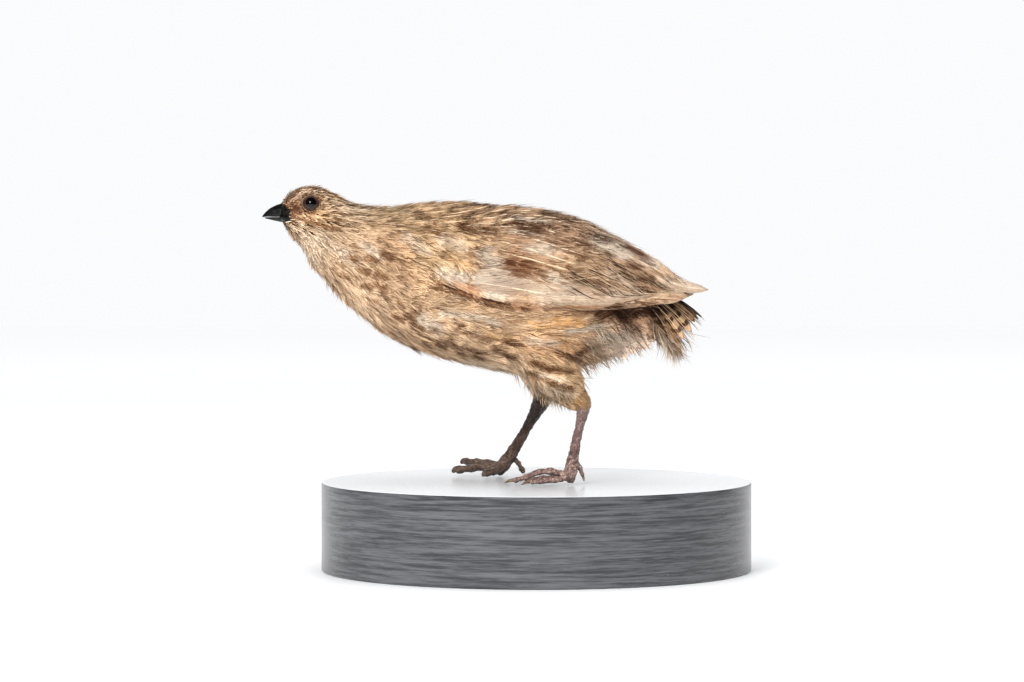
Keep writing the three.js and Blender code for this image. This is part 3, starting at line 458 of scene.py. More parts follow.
# Single dark markings, and the painted shadow under the wing's lower edge, the same on both sides: x and z of
# both ends and half width in millimetres; strength.
MARKS = {
    "head": [
        (-79, 127, -76.3, 127.5, 0.37, 1), (-76.3, 127.5, -72.2, 126.2, 0.31, 1),
        (-82.4, 123.5, -79.7, 122.8, 0.48, 0.7), (-82.8, 120.1, -77.7, 118.4, 0.37, 0.8),
        (-77.7, 118.4, -71.6, 116.7, 0.37, 0.8), (-71.6, 116.7, -66.1, 115.6, 0.44, 0.8),
        (-70.2, 120.7, -66.5, 118.7, 0.75, 0.55), (-68.2, 123.5, -66.1, 121.4, 0.41, 0.6),
        (-84.1, 125.8, -80.7, 128.9, 0.54, 0.7), (-82.4, 121.8, -79.7, 121.1, 0.34, 0.6),
        (-81.4, 124.5, -79.4, 125.8, 0.34, 0.6),
    ],
    "neck": [
        (-62.7, 106.5, -60.3, 105.4, 0.68, 0.9), (-56.3, 106.1, -53.9, 105.1, 0.75, 0.9),
        (-51.2, 107.5, -48.4, 106.1, 0.88, 1), (-59.3, 102.4, -56.6, 101, 0.65, 0.9),
        (-53.5, 100.7, -50.8, 99.3, 0.75, 0.9), (-65.8, 100.3, -63.4, 99.3, 0.51, 0.7),
        (-58.3, 96.9, -55.9, 95.9, 0.65, 0.8), (-54.2, 97.3, -51.8, 95.9, 0.68, 0.8),
        (-51.8, 93.9, -50.1, 92.5, 0.51, 0.7), (-55.2, 91.8, -53.2, 90.8, 0.48, 0.6),
        (-66.8, 104.4, -64.8, 103.1, 0.44, 0.5),
    ],
    "breast and flank": [
        (-46, 90.8, -44.7, 89.1, 0.44, 0.77), (-47.1, 86.7, -45.4, 85, 0.58, 0.85),
        (-43.3, 87.1, -40.9, 85, 0.7, 0.85), (-40.3, 88.8, -38.9, 87.4, 0.5, 0.77),
        (-40.3, 83.7, -38.2, 82.3, 0.44, 0.68), (-35.5, 82.6, -33.1, 81.3, 0.5, 0.68),
        (-27, 84.7, -24.6, 83, 0.61, 0.77), (-23.6, 81.6, -19.9, 80.3, 0.56, 0.77),
        (-30.4, 78.2, -27.3, 77.2, 0.56, 0.85), (-37.9, 77.5, -36.2, 76.2, 0.53, 0.85),
        (-33.5, 77.5, -30.7, 75.8, 0.7, 0.85), (-27.7, 76.5, -25, 75.5, 0.56, 0.85),
        (-26.7, 74.5, -23.9, 73.1, 0.64, 0.85), (-23.3, 75.5, -17.8, 73.8, 0.56, 0.85),
        (-20.9, 72.8, -18.2, 71.8, 0.5, 0.77), (-15.1, 75.8, -12.7, 74.8, 0.7, 0.85),
        (-19.2, 79.2, -15.1, 78.6, 0.42, 0.68),
    ],
    "thigh and flank": [
        (-9.7, 78.2, -5.6, 77.2, 0.7, 1), (-11, 73.8, -7.6, 72.4, 0.62, 1), (-2.5, 68, -0.5, 66.3, 0.7, 1),
        (-1.5, 71.4, 2.9, 69.4, 0.64, 1), (2.9, 69.4, 11.8, 68, 0.67, 1), (3.3, 65.3, 7.3, 63.3, 0.55, 1),
        (7.3, 63.3, 12.4, 62.2, 0.58, 1), (6.3, 74.8, 10.1, 73.8, 0.58, 1), (10.1, 73.5, 14.8, 71.8, 0.67, 1),
        (13.8, 74.1, 21.6, 76.5, 0.53, 1), (1.2, 60.2, 6.7, 57.8, 0.46, 1),
    ],
    "mantle and back": [
        (-40.3, 121.4, -34.1, 118.4, 0.88, 0.6), (-37.5, 116.7, -33.5, 115, 0.78, 0.7),
        (-26, 117.3, -20.5, 114.6, 1.09, 0.9), (-25.3, 120.1, -21.2, 118.7, 0.65, 0.8),
        (-19.5, 124.5, -15.1, 123.5, 0.85, 0.9), (-17.8, 115.6, -13.4, 114.6, 0.75, 0.8),
        (-7.3, 117.7, 0.2, 116, 1.02, 1), (-5.6, 114.6, -0.5, 113.3, 0.61, 0.8),
        (-12.4, 121.1, -6.9, 120.1, 0.58, 0.7), (2.9, 121.4, 11.4, 118, 0.65, 0.8),
        (11.1, 108.8, 15.8, 106.5, 0.85, 1), (12.8, 111.9, 18.2, 110.2, 0.65, 0.8),
        (6.3, 113.3, 10.1, 111.9, 0.51, 0.7), (18.2, 114.6, 25, 111.9, 0.71, 0.8),
        (21.6, 108.5, 25.7, 106.5, 0.58, 0.7), (30.5, 109.9, 37.6, 105.8, 0.71, 1),
        (30.1, 104.4, 35.2, 102.7, 0.65, 0.9), (35.2, 99.7, 43.4, 95.2, 0.68, 0.9),
    ],
    "wing": [
        (-9.3, 105.4, -8, 103.7, 0.99, 1), (-7.6, 103.1, -5.9, 101, 1.05, 1),
        (-4.6, 105.1, -3.2, 103.4, 0.71, 1), (-3.2, 101.7, -1.5, 100.3, 0.65, 0.9),
        (-0.5, 103.4, 3.3, 101, 0.65, 0.8), (-2.2, 105.8, 1.2, 104.4, 0.44, 0.7),
        (8, 104.4, 11.4, 102.4, 0.51, 0.8), (13.1, 102.4, 18.2, 100.3, 0.41, 0.7),
        (27.8, 101.7, 32.5, 97.3, 0.24, 1), (31.8, 100, 36.9, 94.2, 0.24, 1),
        (23.7, 102.4, 27.8, 98.3, 0.2, 0.9), (19.6, 100.3, 23.7, 96.3, 0.2, 0.9),
        (35.6, 98.3, 40.3, 93.5, 0.24, 1),
    ],
    # Painted shadow: a dark band on the feathers just under the wing's lower edge, where the wing casts its
    # shadow.
    "under the wing": [
        (-35.2, 100.2, -32.8, 97.6, 0.6, 0.8), (-33.5, 96.2, -25.6, 94.2, 0.35, 0.95),
        (-25.6, 94.2, -16.3, 90.9, 0.38, 1), (-16.3, 90.9, -9.9, 89.7, 0.4, 1),
        (-9.9, 89.6, 12, 89.6, 0.42, 1), (12, 89.4, 21.6, 89, 0.9, 0.9), (21.6, 87.8, 35.2, 88.2, 1.5, 1),
        (35.2, 88.2, 44.8, 88.8, 1.3, 1),
    ],
}
FINE_MARKS = {"head", "wing"}

# Single pale, rufous and golden patches, as rows like those of the dark markings, each group with its colour.
TINTS = [
    ((230, 214, 194), [
        (-32, 101.2, -18, 99.4, 1.9, 0.65), (-17, 107.5, -13.5, 103.5, 2.2, 0.8),
        (-2.5, 110, 4.5, 108.6, 1.5, 0.8), (21.5, 111.8, 29.5, 108.2, 2.3, 1),
        (3.7, 100.4, 9.5, 97.6, 1.5, 0.7), (-9, 119.7, 3.5, 118.2, 0.5, 0.9),
        (-8, 115.3, 1.2, 113.9, 0.5, 0.9), (-31.7, 112, -24.6, 110.2, 1.6, 0.5),
        (-38.6, 86, -33.5, 82.6, 1.8, 0.75), (-31.8, 87.6, -19.2, 86.4, 0.9, 0.7),
        (-19, 86.6, -13.4, 84, 0.9, 0.7), (10.8, 81.6, 22.6, 83.2, 0.7, 0.9), (-3, 78.6, 6.8, 77.4, 0.8, 0.6),
        (-58, 110.4, -53, 107, 1.3, 0.6), (-66.5, 108.8, -62, 104.8, 1.8, 0.5),
        (-44, 113.4, -37.2, 108.4, 1.4, 0.5), (34, 111, 41.5, 106, 1.3, 0.7),
        (35.5, 106.2, 40.5, 103.6, 1.2, 0.9), (-19, 96, -8, 92.4, 1, 0.4), (-3, 94.5, 36, 93.4, 0.9, 0.3),
        (24, 101.5, 33, 96.4, 0.8, 0.5), (42, 98.2, 57, 95, 1.3, 0.5), (-24, 70.2, -10, 67.6, 1.2, 0.4),
        (2, 66.8, 9, 65.4, 0.7, 0.6), (4.4, 62, 13, 60, 0.8, 0.5), (-74.8, 117.2, -70.4, 112.4, 0.6, 0.3),
    ]),
    ((178, 134, 100), [
        (-26.6, 97.4, -19.2, 94.6, 1, 0.75), (-9.9, 91.6, -2.1, 89.6, 0.9, 0.7),
        (-17.2, 114.8, -9.8, 112.8, 0.8, 0.5), (-8.8, 113.2, -2, 111.4, 1, 0.6),
        (-84.4, 121.6, -79, 122.6, 1.3, 0.5), (-77, 118.8, -69, 114.2, 1, 0.2), (14, 96.4, 22, 93, 0.7, 0.4),
        (-45, 104, -41.4, 102, 0.9, 0.4), (30, 104, 40, 98, 1, 0.4), (-44.6, 99.6, -40, 98, 0.9, 0.4),
        (42, 92.8, 52, 92.6, 0.5, 0.6),
    ]),
    ((232, 176, 108), [
        (6.8, 85.2, 14.4, 84.2, 1.3, 0.8), (-3, 84.6, 4, 83.2, 0.9, 0.5), (-16, 80.6, -11, 79.4, 0.8, 0.4),
        (-28, 106, -22, 102.6, 1.6, 0.35), (13.6, 57.6, 16.4, 55.2, 1.2, 0.6),
    ]),
]


def wavy(value, other, y, size, pitch, lean, far_size, far_pitch, start=0):
    """A coordinate of points moved in waves, so that markings get uneven edges and differ on the far side."""
    near = value + size * np.sin(pitch * other + lean * y)
    return near + np.where(y > 0, far_size * np.sin(far_pitch * other + start), 0)


def strokes(x, z, rows, spread, spare):
    """How strongly the strongest stroke of a table's rows shows at points, 0 to 1."""
    shown = np.zeros(len(x))
    for x0, z0, x1, z1, half, strength in rows:
        dx, dz = x1 - x0, z1 - z0
        t = np.clip(((x - x0) * dx + (z - z0) * dz) / (dx * dx + dz * dz), 0, 1)
        gap = np.hypot(x - x0 - t * dx, z - z0 - t * dz)
        shown = np.maximum(shown, strength * ramp(spread * half + spare - gap, half + spare))
    return shown


def markings_and_shadow(points):
    """How dark the single markings, the painted shadow under the wing's lower edge and the crown's stripes are
    at points, 0 to 1.
    """
    x, y, z = points.T
    x = wavy(x, z, y, 0.35, 1.9, 0.7, 1.3, 0.31)
    z = wavy(z, x, y, 0.3, 2.3, 0.9, 1.1, 0.27)
    dark = np.zeros(len(points))
    for group, rows in MARKS.items():
        dark = np.maximum(dark, strokes(x, z, rows, 1.7, 0.15 if group in FINE_MARKS else 0.4))
    dark[np.abs(y) < 2.5] *= 0.4
    held = np.flatnonzero(points[:, 0] < -52)
    if len(held):
        share, angle, _ = body_place(points[held])
        turn = np.degrees(np.abs(angle))
        crown = ramp(turn - 6, 4) * ramp(24 - turn, 8)
        crown *= np.interp(share, [0.02, 0.06, 0.2, 0.28], [0, 0.5, 0.5, 0])
        offset = points[held] - EYE_AT
        ring = ramp(3.7 - np.hypot(offset[:, 0], offset[:, 2]), 0.7) * (np.abs(y[held]) > 3)
        ring *= np.interp(offset[:, 2], [-3, 0.5, 2], [0.35, 0.45, 0.6])
        dark[held] = np.maximum(dark[held], np.maximum(crown, ring))
    return dark


def tinted(points, colours):
    """The colours with the single pale, rufous and golden patches laid over them."""
    x, y, z = points.T
    x = wavy(x, z, y, 0.5, 1.3, 0.7, 1.8, 0.29, 1)
    z = wavy(z, x, y, 0.4, 1.7, 0.9, 1.5, 0.25, 2)
    colours = colours.copy()
    for colour, rows in TINTS:
        share = (strokes(x, z, rows, 1.6, 0.3) * (np.abs(y) > 2.5))[:, None]
        depth = np.clip(colours.mean(1, keepdims=True) / 0.4, 0.35, 1.0)
        colours = colours * (1 - share) + np.array(linear(*colour)) * depth * share
    return colours


def zone_traits(zones, points):
    """The plumage at points: ground colour, mark colour, and the rows' numbers from mottle to turn."""
    at = np.array([zone[:4] for zone in zones], float)
    dx = (points[:, None, 0] - at[None, :, 0]) / at[None, :, 2]
    dz = (points[:, None, 2] - at[None, :, 1]) / at[None, :, 3]
    weight = np.exp(-1.1 * (dx * dx + dz * dz)) + 1e-12
    weight /= weight.sum(1, keepdims=True)
    colours = [np.array([linear(*zone[k]) for zone in zones]) for k in (4, 5)]
    return weight @ colours[0], weight @ colours[1], weight @ np.array([zone[6:] for zone in zones], float)


# Loops of points joined into closed surfaces

def lofted(rings, endless=False):
    """Points and faces of a closed form from rings of equally many points, with capped ends or endless."""
    rings = np.asarray(rings, float)
    count, sides = rings.shape[:2]
    points = rings.reshape(-1, 3)
    faces = []
    for i in range(count if endless else count - 1):
        here, beyond = i * sides, (i + 1) % count * sides
        for j in range(sides):
            k = (j + 1) % sides
            faces.append((here + j, here + k, beyond + k, beyond + j))
    if not endless:
        points = np.vstack([points, rings[0].mean(0), rings[-1].mean(0)])
        first, last, end = len(points) - 2, len(points) - 1, (count - 1) * sides
        for j in range(sides):
            k = (j + 1) % sides
            faces += [(first, k, j), (last, end + j, end + k)]
    return points, faces


def joined_piece(name, parts):
    """One object from several sets of points, in millimetres, and faces, with its faces turned outwards."""
    points, faces, start = [], [], 0
    for some_points, some_faces in parts:
        points.append(some_points)
        faces += [[int(corner) + start for corner in face] for face in some_faces]
        start += len(some_points)
    mesh = bpy.data.meshes.new(name)
    mesh.from_pydata((np.vstack(points) * MM).tolist(), [], faces)
    mesh.update()
    shape = bmesh.new()
    shape.from_mesh(mesh)
    bmesh.ops.recalc_face_normals(shape, faces=shape.faces)
    shape.to_mesh(mesh)
    shape.free()
    smooth_faces(mesh)
    return linked(name, mesh)


# Curves and surfaces, in millimetres

def smooth_rows(table, count):
    """A table's rows read off at evenly spread places along a smooth curve through them."""
    table = np.asarray(table, float)
    padded = np.vstack([2 * table[0] - table[1], table, 2 * table[-1] - table[-2]])
    t = np.linspace(0, len(table) - 1, count)
    i = np.minimum(t.astype(int), len(table) - 2)
    f = (t - i)[:, None]
    p0, p1, p2, p3 = (padded[i + k] for k in range(4))
    bend, twist = 2 * p0 - 5 * p1 + 4 * p2 - p3, 3 * p1 - p0 - 3 * p2 + p3
    return 0.5 * (2 * p1 + (p2 - p0) * f + bend * f ** 2 + twist * f ** 3)


# The closed wings' outer surface: x, top, bottom, half width.
SHEATH = [
    (-42, 125, 76, 21.5), (-30, 126.2, 72.5, 27.2), (-18, 126, 70, 29), (-6, 125, 68, 29.4),
    (6, 121.9, 68, 28), (18, 117.4, 72, 24.8), (28, 112.2, 77, 20.2), (38, 105.8, 81.5, 14.8),
    (48, 99.7, 86, 9.2), (58, 95.2, 91, 3.4), (64, 93, 91.6, 1.2),
]
sheath_rows = smooth_rows(SHEATH, 200)


def sheath_size(x):
    """Top, bottom and half width of the closed wings at x."""
    return (np.interp(x, sheath_rows[:, 0], sheath_rows[:, k]) for k in (1, 2, 3))


def sheath(x, degrees, side, lift=0.0):
    """Points on the closed wing's surface, and the directions out of it."""

    def at(x, degrees):
        top, bottom, half = sheath_size(x)
        a = np.radians(degrees)
        y = half * np.sin(a) * (1 - 0.12 * np.cos(a))
        return np.stack([x, y, (top + bottom) / 2 + np.cos(a) * (top - bottom) / 2], -1)

    x, degrees = np.broadcast_arrays(np.asarray(x, float), np.asarray(degrees, float))
    here = at(x, degrees)
    mirror = np.array([1, side, 1])
    out = turned(unit(np.cross(at(x, degrees + 1) - here, at(x + 0.5, degrees) - here)), 1) * mirror
    return here * mirror + out * np.asarray(lift)[..., None], out


# The wing seen from the side and from above: lower edge, upper limit at the front, and inner border.
WING_LOW = [
    (-33.4, 99.6), (-32.4, 97.8), (-30, 97), (-25.6, 95.3), (-21.6, 93.9), (-16.3, 92.2), (-9.9, 91.1),
    (-0.6, 90.9), (8.7, 90.9), (20, 91.3), (28, 92), (38.6, 93.0), (48.8, 93.9), (58, 94.8),
]
WING_HIGH = [(-33, 106.4), (-31.5, 108), (-28, 114), (-17, 128), (60, 200)]
WING_INNER = [(-34, 17), (-24, 11), (-10, 8), (4, 5), (16, 2), (24, 0.2), (60, 0.2)]


def wing_borders(x):
    """The angles round the body between which the wing lies at x."""
    degrees = np.arange(0, 140, 0.5)
    points, _ = sheath(np.full(len(degrees), x), degrees, 1)
    within = (points[:, 1] >= lookup(WING_INNER, x)) & (points[:, 2] <= lookup(WING_HIGH, x))
    within &= (points[:, 2] >= lookup(WING_LOW, x)) & (degrees < 125)
    held = degrees[within]
    return (held[0], held[-1]) if len(held) else (90.0, 90.5)


WING_X = np.linspace(-32.8, 57.5, 70)
WING_EDGES = np.array([wing_borders(x) for x in WING_X])


def in_wing(points, margin=0.0):
    """Whether points near the body's surface lie within a wing's outline, and how far above its lower edge."""
    x, y, z = points.T
    low = lookup(WING_LOW, x)
    inside = (x > -32.5) & (z > low + margin) & (z < lookup(WING_HIGH, x))
    return inside & (np.abs(y) > lookup(WING_INNER, x)), z - low


# Skin

FLESH = ["torso", "neck", "head", "thigh_left", "thigh_right"]


def chin_share(points, most=1.0):
    """How far points lie on the chin, up to most."""
    return most * ramp(-75 - points[:, 0], 4) * ramp(118 - points[:, 2], 2)


def coat_depth(points):
    """How deep the skin lies under the solids: the coat's depth, thin on the face and the lower thigh."""
    share, _, _ = body_place(points)
    depth = np.interp(share, [0, 0.06, 0.17, 0.3, 0.5, 1], [0.25, 0.5, 0.75, 1.2, 1.6, 1.6])
    return np.where(points[:, 2] < 66, 0.7, depth + chin_share(points, 0.9))


def largest_part(piece):
    """Keeps only the largest connected part, which drops the inner walls of hollows."""
    mesh = piece.data
    edges = read_off(mesh.edges, "vertices", 2, np.int32)
    label = np.arange(len(mesh.vertices))
    while True:
        low = np.minimum(label[edges[:, 0]], label[edges[:, 1]])
        new = label.copy()
        np.minimum.at(new, edges[:, 0], low)
        np.minimum.at(new, edges[:, 1], low)
        new = new[new]
        if (new == label).all():
            break
        label = new
    kept = label == np.bincount(label).argmax()
    shape = bmesh.new()
    shape.from_mesh(mesh)
    shape.verts.ensure_lookup_table()
    bmesh.ops.delete(shape, geom=[v for v in shape.verts if not kept[v.index]], context="VERTS")
    shape.to_mesh(mesh)
    shape.free()


def over_the_back(points):
    """How far the wings' upper borders are smoothed into the back."""
    x, z = points[:, 0], points[:, 2]
    return ramp(z - 101, 5) * ramp(x + 47, 6) * ramp(38 - x, 8)


def smoother(piece, factor, rounds, group=""):
    smoothing = piece.modifiers.new("smooth", "SMOOTH")
    smoothing.factor = factor
    smoothing.iterations = rounds
    smoothing.vertex_group = group
    apply_modifiers(piece)


def one_surface(piece, voxel, rounds):
    """Makes the piece's shells one closed, smoothed surface."""
    remesh = piece.modifiers.new("one surface", "REMESH")
    remesh.mode = "VOXEL"
    remesh.voxel_size = voxel * MM
    smoother(piece, 0.6, rounds)
    largest_part(piece)


def remeshed(name, nodes, voxel, rounds, softer=None):
    """One closed smooth surface over several nodes, set in by the coat's depth."""
    piece = merged_copy(name, nodes)
    one_surface(piece, voxel, rounds)
    if softer:
        share = np.round(softer(points_of(piece)), 1)
        group = piece.vertex_groups.new(name="softer")
        for level in np.unique(share[share > 0]):
            group.add([int(i) for i in np.flatnonzero(share == level)], float(level), "REPLACE")
        smoother(piece, 0.9, 45, "softer")
    points = points_of(piece)
    move_points(piece, points - normals_of(piece) * coat_depth(points)[:, None])
    smooth_faces(piece.data)
    return piece


def tree_of(piece):
    return BVHTree.FromObject(piece, bpy.context.evaluated_depsgraph_get())


skin = remeshed("skin", FLESH, 0.8, 6)
form = remeshed("form", FLESH + ["wing_left", "wing_right"], 0.9, 8, over_the_back)
skin_tree, form_tree = tree_of(skin), tree_of(form)


def unwrap_place(points):
    """The unwrap by angle round the body and place along it."""
    share, angle, _ = body_place(points)
    return np.column_stack([angle / (2 * math.pi) + 0.5, share])


def unwrap_skin(piece):
    """Colours at the roots, and the unwrap."""
    points = points_of(piece)
    ground, mark, _ = zone_traits(BODY_ZONES, points)
    ones = np.ones((len(points), 1))
    colour_layer(piece.data, "ground", np.hstack([ground * 0.6 + mark * 0.25, ones]))
    colour_layer(piece.data, "mark", np.hstack([mark, ones]))
    uv_layer(piece.data, "OFBake", unwrap_place(points)[corners_of(piece.data)])


def skin_finish():
    finish = Finish("down over skin")
    place = finish.place()
    fine = finish.noise(place, 1500.0, 3.0)
    streaks = finish.noise(finish.stretch(place, (0.25, 1, 1)), 1400.0, 3.0)
    colour = finish.mix(streaks.step(0.45, 0.7) * 0.6, finish.attribute("ground"), finish.attribute("mark"))
    return finish.surface(colour=finish.shade(colour, 0.6 + fine * 0.6), roughness=0.85, specular=0.1,
                          normal=finish.bump(fine + streaks, 0.0002, 0.7))


down = skin_finish()
unwrap_skin(skin)
finished(skin, down, "plumage", *FLESH)


# Feathers

class Vane:
    """A feather's pattern of points: a vane of rows and columns, and free barbs at its tip and edges."""

    def __init__(self, rows, columns, outline, *, vane_end=1.0, tip_barbs=0, edge_barbs=0, long_barbs=False,
                 seed=0):
        points, faces = [], []
        for v in np.linspace(0, vane_end, rows):
            points += [(u * outline(v), v, u) for u in np.linspace(-1, 1, columns)]
        for i in range(rows - 1):
            for j in range(columns - 1):
                a = i * columns + j
                faces.append((a, a + 1, a + columns + 1, a + columns))

        def strip(*corners):
            start = len(points)
            points.extend(corners)
            if len(corners) == 3:
                faces.append((start, start + 1, start + 2, start + 2))
            else:
                faces.append((start, start + 1, start + 3, start + 2))
                faces.append((start + 2, start + 3, start + 4, start + 4))

        wide = outline(vane_end)
        draw = np.random.default_rng(seed)
        for k in range(tip_barbs):
            middle = -1 + (2 * k + 1) / tip_barbs
            half = 1.05 / tip_barbs
            end = 1 - 0.55 * (1 - vane_end) * middle * middle - (1 - vane_end) * 0.3 * draw.random()
            lean = middle * (0.8 + 0.35 * draw.random())
            base = vane_end - 0.02
            first = ((middle - half) * wide, base, middle - half)
            second = ((middle + half) * wide, base, middle + half)
            tip = (lean * wide, end, middle)
            if long_barbs:
                knee = base + (end - base) * 0.55
                at = (middle + lean) / 2 * 1.08
                strip(first, second, ((at - half * 0.62) * wide, knee, middle - half * 0.6),
                      ((at + half * 0.62) * wide, knee, middle + half * 0.6), tip)
            else:
                strip(first, second, tip)
        for side in (-1, 1):
            for k in range(edge_barbs):
                v = 0.22 + (vane_end - 0.22) * (k + 0.5 * draw.random()) / edge_barbs
                reach = 1.12 + 0.16 * draw.random()
                low = (side * outline(v) * 0.78, v - 0.04, side * 0.8)
                high = (side * outline(v + 0.07) * 0.78, v + 0.07, side * 0.8)
                strip(low, high, (side * outline(v + 0.1) * reach, v + 0.16 + 0.06 * draw.random(), side))
        self.points = np.array(points)
        self.faces = np.array(faces)


def curve(*pairs):
    """A width along a feather, from pairs of place and width."""
    places, widths = zip(*pairs)
    return lambda v: float(np.interp(v, places, widths))


CONTOURS = [
    Vane(7, 3, curve((0, 0.25), (0.15, 0.6), (0.35, 0.9), (0.6, 1.0), (1, 0.8)), vane_end=end, tip_barbs=barbs,
         edge_barbs=5, long_barbs=True, seed=seed)
    for seed, (end, barbs) in enumerate([(0.66, 11), (0.6, 9), (0.7, 12), (0.56, 10)])
]
FACE = [
    Vane(4, 2, curve((0, 0.6), (0.4, 1.0), (1, 0.8)), vane_end=0.7, tip_barbs=barbs, seed=seed)
    for seed, barbs in enumerate([2, 3, 3])
]
HAIR = [Vane(5, 2, curve((0, 0.6), (0.4, 1.0), (1, 0.1)))]
COVERT = [
    Vane(7, 5, curve((0, 0.3), (0.15, 0.7), (0.4, 0.95), (0.7, 1.0), (0.86, 0.82), (1, 0.55)), vane_end=0.88,
         tip_barbs=9, edge_barbs=3)
]
FLIGHT = [
    Vane(17, 7, curve((0, 0.5), (0.2, 0.9), (0.5, 1.0), (0.75, 0.95), (0.88, 0.75), (0.96, 0.42), (1, 0.06)))
]


WALK_STEPS = 4


def surface_walk(tree, roots, normals, directions, lengths, broad):
    """Points and normals of paths over a surface: from each root, in its direction, for its length."""

    def broadened(normal, at):
        return (normal * (1 - broad) + skin_tree.find_nearest(at)[1] * broad).normalized()

    path = np.empty((len(roots), WALK_STEPS + 1, 3))
    lie = np.empty_like(path)
    for i in range(len(roots)):
        here, ahead = Vector(roots[i] * MM), Vector(directions[i])
        up = broadened(Vector(normals[i]), here)
        stride = lengths[i] * MM / WALK_STEPS
        path[i, 0], lie[i, 0] = here, up
        for k in range(1, WALK_STEPS + 1):
            target = here + ahead * stride
            found, normal, _, _ = tree.find_nearest(target)
            if (found - target).length > stride * 1.3 or normal.dot(up) < 0.1:
                found, normal = target, up
            moved = found - here
            if moved.length > 1e-9:
                ahead = (ahead * 0.3 + moved.normalized()).normalized()
            up = (up + broadened(normal, found) * 0.8).normalized()
            here = found
            path[i, k], lie[i, k] = here, up
    return path / MM, lie


def laid_feathers(vane, feathers, *, cup=0.12, sunk=0.25, curl=0.0, slope=0.75, roll=0.0, jitter=0.12):
    """Arrays of one kind of feather: the lift grows along it, its edges cup down and its tip may curl."""
    path = feathers["path"]
    count, steps = path.shape[0], path.shape[1] - 1
    spots = vane.points
    v = np.clip(spots[:, 1], 0, 1) * steps
    low = np.minimum(v.astype(int), steps - 1)
    part = (v - low)[None, :, None]

    def between(rows):
        """Rows given for each step, read off at the vane's points."""
        return rows[:, low] * (1 - part) + rows[:, low + 1] * part

    up = unit(between(feathers["lie"]))
    side = unit(np.cross(up, unit(path[:, low + 1] - path[:, low])))
    along, across = spots[:, 1][None, :], spots[:, 0][None, :]
    width, lift, cup, sunk, curl, slope, roll, jitter = (
        np.broadcast_to(a, count)[:, None]
        for a in (feathers["width"], feathers["lift"], cup, sunk, curl, slope, roll, jitter))
    rise = lift * along ** slope - sunk * (1 - along) ** 2 + curl * np.maximum(along - 0.5, 0) ** 2
    turn = (roll + rng.normal(0, 1, (count, 1)) * jitter) * across
    rise = rise + (turn * 0.5 - cup * across * across) * width
    points = between(path) + side * (across * width * 0.5)[..., None] + up * rise[..., None]
    points = points.reshape(-1, 3)
    looks = {}
    for key, rows in feathers["looks"].items():
        rows = np.broadcast_to(rows[:, None, :], (count, len(spots), 4)) if rows.ndim == 2 else between(rows)
        looks[key] = np.array(rows.reshape(-1, 4))
    looks["ground"][:, :3] = tinted(points, looks["ground"][:, :3])
    looks["ground"][:, 3] = markings_and_shadow(points)
    template = np.column_stack([spots[:, 2] * 0.5 + 0.5, spots[:, 1]])
    faces = vane.faces[None] + (np.arange(count) * len(spots))[:, None, None]
    return {"points": points, "faces": faces.reshape(-1, 4), "vane": np.tile(template, (count, 1)),
            "home": np.repeat(feathers["unwrap"], len(spots), axis=0), **looks}


def scattered(piece, spacing, tries=12):
    """Points spread over a mesh, no nearer to each other than the spacing there, with their normals."""
    mesh = piece.data
    mesh.calc_loop_triangles()
    triangles = points_of(piece)[read_off(mesh.loop_triangles, "vertices", 3, np.int32)]
    normals = np.cross(triangles[:, 1] - triangles[:, 0], triangles[:, 2] - triangles[:, 0])
    areas = np.linalg.norm(normals, axis=1) / 2
    normals = unit(normals)
    middles = triangles.mean(1)
    wanted = areas / spacing(middles) ** 2
    total = int(wanted.sum() * tries)
    picked = rng.choice(len(areas), total, p=wanted / wanted.sum())
    r1, r2 = np.sqrt(rng.random((total, 1))), rng.random((total, 1))
    t = triangles[picked]
    points = (1 - r1) * t[:, 0] + r1 * (1 - r2) * t[:, 1] + r1 * r2 * t[:, 2]
    gaps = spacing(points)
    tree = point_tree(points)
    crowded = np.zeros(total, bool)
    kept = []
    for i in range(total):
        if crowded[i]:
            continue
        kept.append(i)
        for _, j, _ in tree.find_range(points[i], gaps[i]):
            crowded[j] = True
    return points[kept], normals[picked][kept]


def looks_of(ground, mark, traits, lengths, freckled=0.35):
    """What the feather material reads: colours, pattern and traits, varied from feather to feather."""
    count = len(traits)
    chance = rng.random(count)
    one_colour = ground.ndim == 2
    darker = (rng.random(count) < traits[:, MOTTLE] * freckled) * rng.uniform(0.25, 0.75, count)
    pale = rng.uniform(0.9, 1.12, (count, 1))
    darker = darker[:, None]
    if not one_colour:
        pale, darker = pale[:, None], darker[:, None]
    varied = (ground * (1 - darker) + mark * darker) * pale
    marks = traits[:, BARS:SHAFT]
    shown = rng.random((count, 3)) < np.clip(marks * 1.3, 0, 1)
    pattern = np.where(shown, np.clip(marks * 1.5, 0, 1), marks * 0.25)
    ones = np.ones((*ground.shape[:-1], 1))
    return {
        "ground": np.concatenate([varied, ones], -1),
        "mark": np.concatenate([mark, ones], -1),
        "pattern": np.column_stack([pattern, lengths / LONGEST_FEATHER]),
        "trait": np.column_stack([traits[:, SHAFT], chance, traits[:, MOTTLE], np.ones(count)]),
    }


body_feather = feather_finish("body feather")
flight_feather = feather_finish("flight feather", barb_lean=0.3, dark_slits=0.35, roughness=0.5)


def drift(points, reach, seed):
    """A slow random change over the body, about -1 to 1."""
    shift = Vector((seed * 17.3, seed * 5.1, seed * 9.7))
    return np.array([noise.noise(Vector(p / reach) + shift) for p in points]) * 2.0


def spacing_in(zones, share, least, most):
    """How far apart feathers grow: a share of their size in the zones."""

    def gap(points):
        traits = zone_traits(zones, points)[2]
        return np.clip(share * np.sqrt(traits[:, LENGTH] * traits[:, WIDTH]), least, most)

    return gap


body_gap = spacing_in(BODY_ZONES, 0.34, 0.42, 2.3)
wing_gap = spacing_in(WING_ZONES, 0.3, 0.6, 1.9)


BARE_ROUND_EYE = 2.65
PARTED_ROUND_EYE = 6.5


